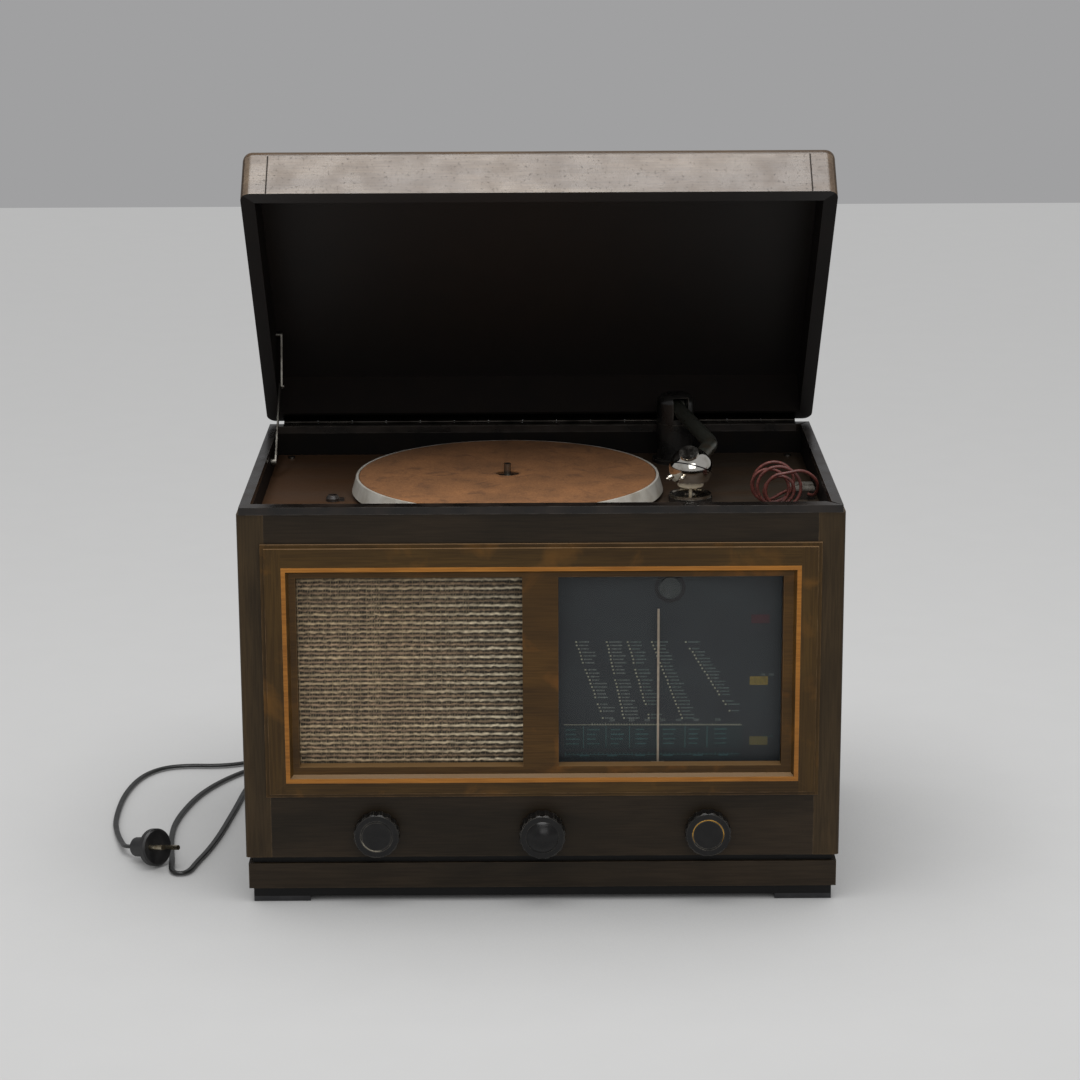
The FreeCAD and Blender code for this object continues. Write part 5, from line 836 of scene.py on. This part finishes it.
def two_part(name, split, low, high, metal):
    """A piece of two stocks that meet at a height: two colours of each, and how metallic the upper one is."""
    material, tree, shader = finish(name)
    upper = add(tree, "Math", {0: place_of(tree)[2], 1: split}, operation="GREATER_THAN")
    cloud = add(tree, "MapRange", {0: grain(tree, "", 8, 8, 6), 1: 0.42, 2: 0.68, 3: 0.0, 4: 1.0})
    below, above = (add(tree, "Mix", {0: cloud, 6: pair[0], 7: pair[1]}, 2, data_type="RGBA") for pair in (low, high))
    colour = add(tree, "Mix", {0: upper, 6: below, 7: above}, 2, data_type="RGBA")
    wire(tree, shader, Base_Color=colour, Metallic=add(tree, "Math", {0: upper, 1: metal}, operation="MULTIPLY"),
         Roughness=add(tree, "MapRange", {0: cloud, 3: 0.18, 4: 0.34}))
    return material


# Where the foot or base of each ends
DISH_FOOT, BLOCK_FOOT, VALVE_BASE = DECK + 5.0, DECK + 9.0, 146.0
# Nickel dish, spun: warm grey mirror over a black moulded foot
dress(two_part("nickel_dish_spun", DISH_FOOT, ("121110", "292522"), ("cfc8bb", "8d8374"), 1.0), "needle_cup")
# Glass, blown and silvered inside: smoky grey over black phenolic bases
dress(two_part("valve_glass_silvered", VALVE_BASE, ("171412", "2c2521"), ("56524b", "2e2b28"), 0.4), "valves")
# Phenolic block, moulded: brown-black with a grey cast top
dress(two_part("terminal_block_moulded", BLOCK_FOOT, ("1c1714", "2d251f"), ("6f6b64", "4b4741"), 0.3),
      "terminal_block")
# Casein button, turned: ivory gone brown at the edge
dress(moulding("casein_button_turned", "c9bda6", "a4957c", "e0d5c0", (0.14, 0.26), wear=0.4), "arm_rest")
# Dial enamel, sprayed: slate grey, a little cloudy
dress(plain_stock("enamel_dial_sprayed", "303537", "2b2e31", 34.0, rough=0.55, deep=0.0), "dial_plate")
# Pointer enamel, painted: cream gone yellow
dress(plain_stock("enamel_pointer_painted", "bbac96", "a59683", 4.0, rough=0.45, deep=0.0), "dial_pointer")
# Glass, coated inside and unlit: a smooth grey-green button
dress(moulding("eye_glass_coated", "3b3f3d", "2c2f2e", "565a57", (0.10, 0.2), wear=0.7), "magic_eye")


def glass_finish():
    """Dial glass, drawn sheet: nearly clear, with a film of dust that greys what is behind it."""
    material, tree, shader = finish("sheet_glass_drawn", IOR=1.5, Alpha=0.12)
    dust = grain(tree, "", 30, 30, 6)
    tint = add(tree, "ValToRGB", {0: dust}, stops=[(0.35, "20262a"), (0.75, "343a3d")])
    wire(tree, shader, Base_Color=tint, Roughness=add(tree, "MapRange", {0: dust, 1: 0.4, 2: 0.7, 3: 0.04, 4: 0.16}))
    return material


dress(glass_finish(), "dial_glass")


# Floor, backdrop and studio light

# The floor's half width, front and back in metres, how even it is made to look, and how far its shadow reaches
FLOOR_SIDE, FLOOR_FRONT, FLOOR_BACK = 9.0, -8.0, 4.28
FLOOR_EVEN, SHADOW_REACH = 0.65, 0.3


def looked_at(tree):
    """1 where the eye, or metal or glass that it sees, looks at a surface, and 0 where light falls from it."""
    share = 0.0
    for ray in ("Is Camera Ray", "Is Glossy Ray", "Is Transmission Ray"):
        share = add(tree, "Math", {0: share, 1: add(tree, "LightPath", out=ray)}, operation="ADD", use_clamp=True)
    return share


def studio_floor():
    """Paper, rolled out: pale grey to a straight far edge, even to the eye but for the shadow it keeps."""
    mesh = bpy.data.meshes.new("studio_floor")
    corners = [(-FLOOR_SIDE, FLOOR_FRONT, 0), (FLOOR_SIDE, FLOOR_FRONT, 0), (FLOOR_SIDE, FLOOR_BACK, 0),
               (-FLOOR_SIDE, FLOOR_BACK, 0)]
    mesh.from_pydata(corners, [], [(0, 1, 2, 3)])
    paper = plain_stock("paper_floor_rolled", "c8c8c7", "c5c5c4", 60.0, rough=0.9, deep=0.0)
    tree = paper.node_tree
    even = add(tree, "Math", {0: looked_at(tree), 1: FLOOR_EVEN}, operation="MULTIPLY")
    near = add(tree, "AmbientOcclusion", {"Distance": SHADOW_REACH}, "AO", samples=8)
    glow = add(tree, "Emission", {"Color": "c8c8c8", "Strength": near})
    both = add(tree, "MixShader", {0: even, 1: tree.nodes["Principled BSDF"].outputs[0], 2: glow})
    tree.links.new(both, tree.nodes["Material Output"].inputs["Surface"])
    mesh.materials.append(paper)
    floor = bpy.data.objects.new("studio_floor", mesh)
    bpy.context.scene.collection.objects.link(floor)


def studio_sky():
    """Even light from all round, and a plain grey backdrop where the eye, metal or glass looks into it."""
    world = bpy.data.worlds.new("studio")
    world.use_nodes = True
    tree = world.node_tree
    sky = add(tree, "Mix", {0: looked_at(tree), 6: "bcbcbc", 7: "a0a0a1"}, 2, data_type="RGBA")
    tree.links.new(sky, tree.nodes["Background"].inputs["Color"])
    bpy.context.scene.world = world


def softbox(name, at, aim, wide, deep, watts):
    """A soft rectangular lamp, its place and size in metres."""
    data = bpy.data.lights.new(name, "AREA")
    data.shape = "RECTANGLE"
    data.size, data.size_y = wide, deep
    data.energy = watts
    lamp = bpy.data.objects.new(name, data)
    bpy.context.scene.collection.objects.link(lamp)
    lamp.location = at
    lamp.rotation_euler = (Vector(aim) - Vector(at)).to_track_quat("-Z", "Y").to_euler()


studio_floor()
studio_sky()
softbox("top_softbox", at=(0.0, -0.38, 2.3), aim=(0, -0.38, 0), wide=1.7, deep=1.3, watts=44)
softbox("front_fill", at=(0.5, -3.4, 2.0), aim=(0, 0, 0.25), wide=2.4, deep=1.8, watts=28)
bpy.context.scene.view_settings.view_transform = "Standard"
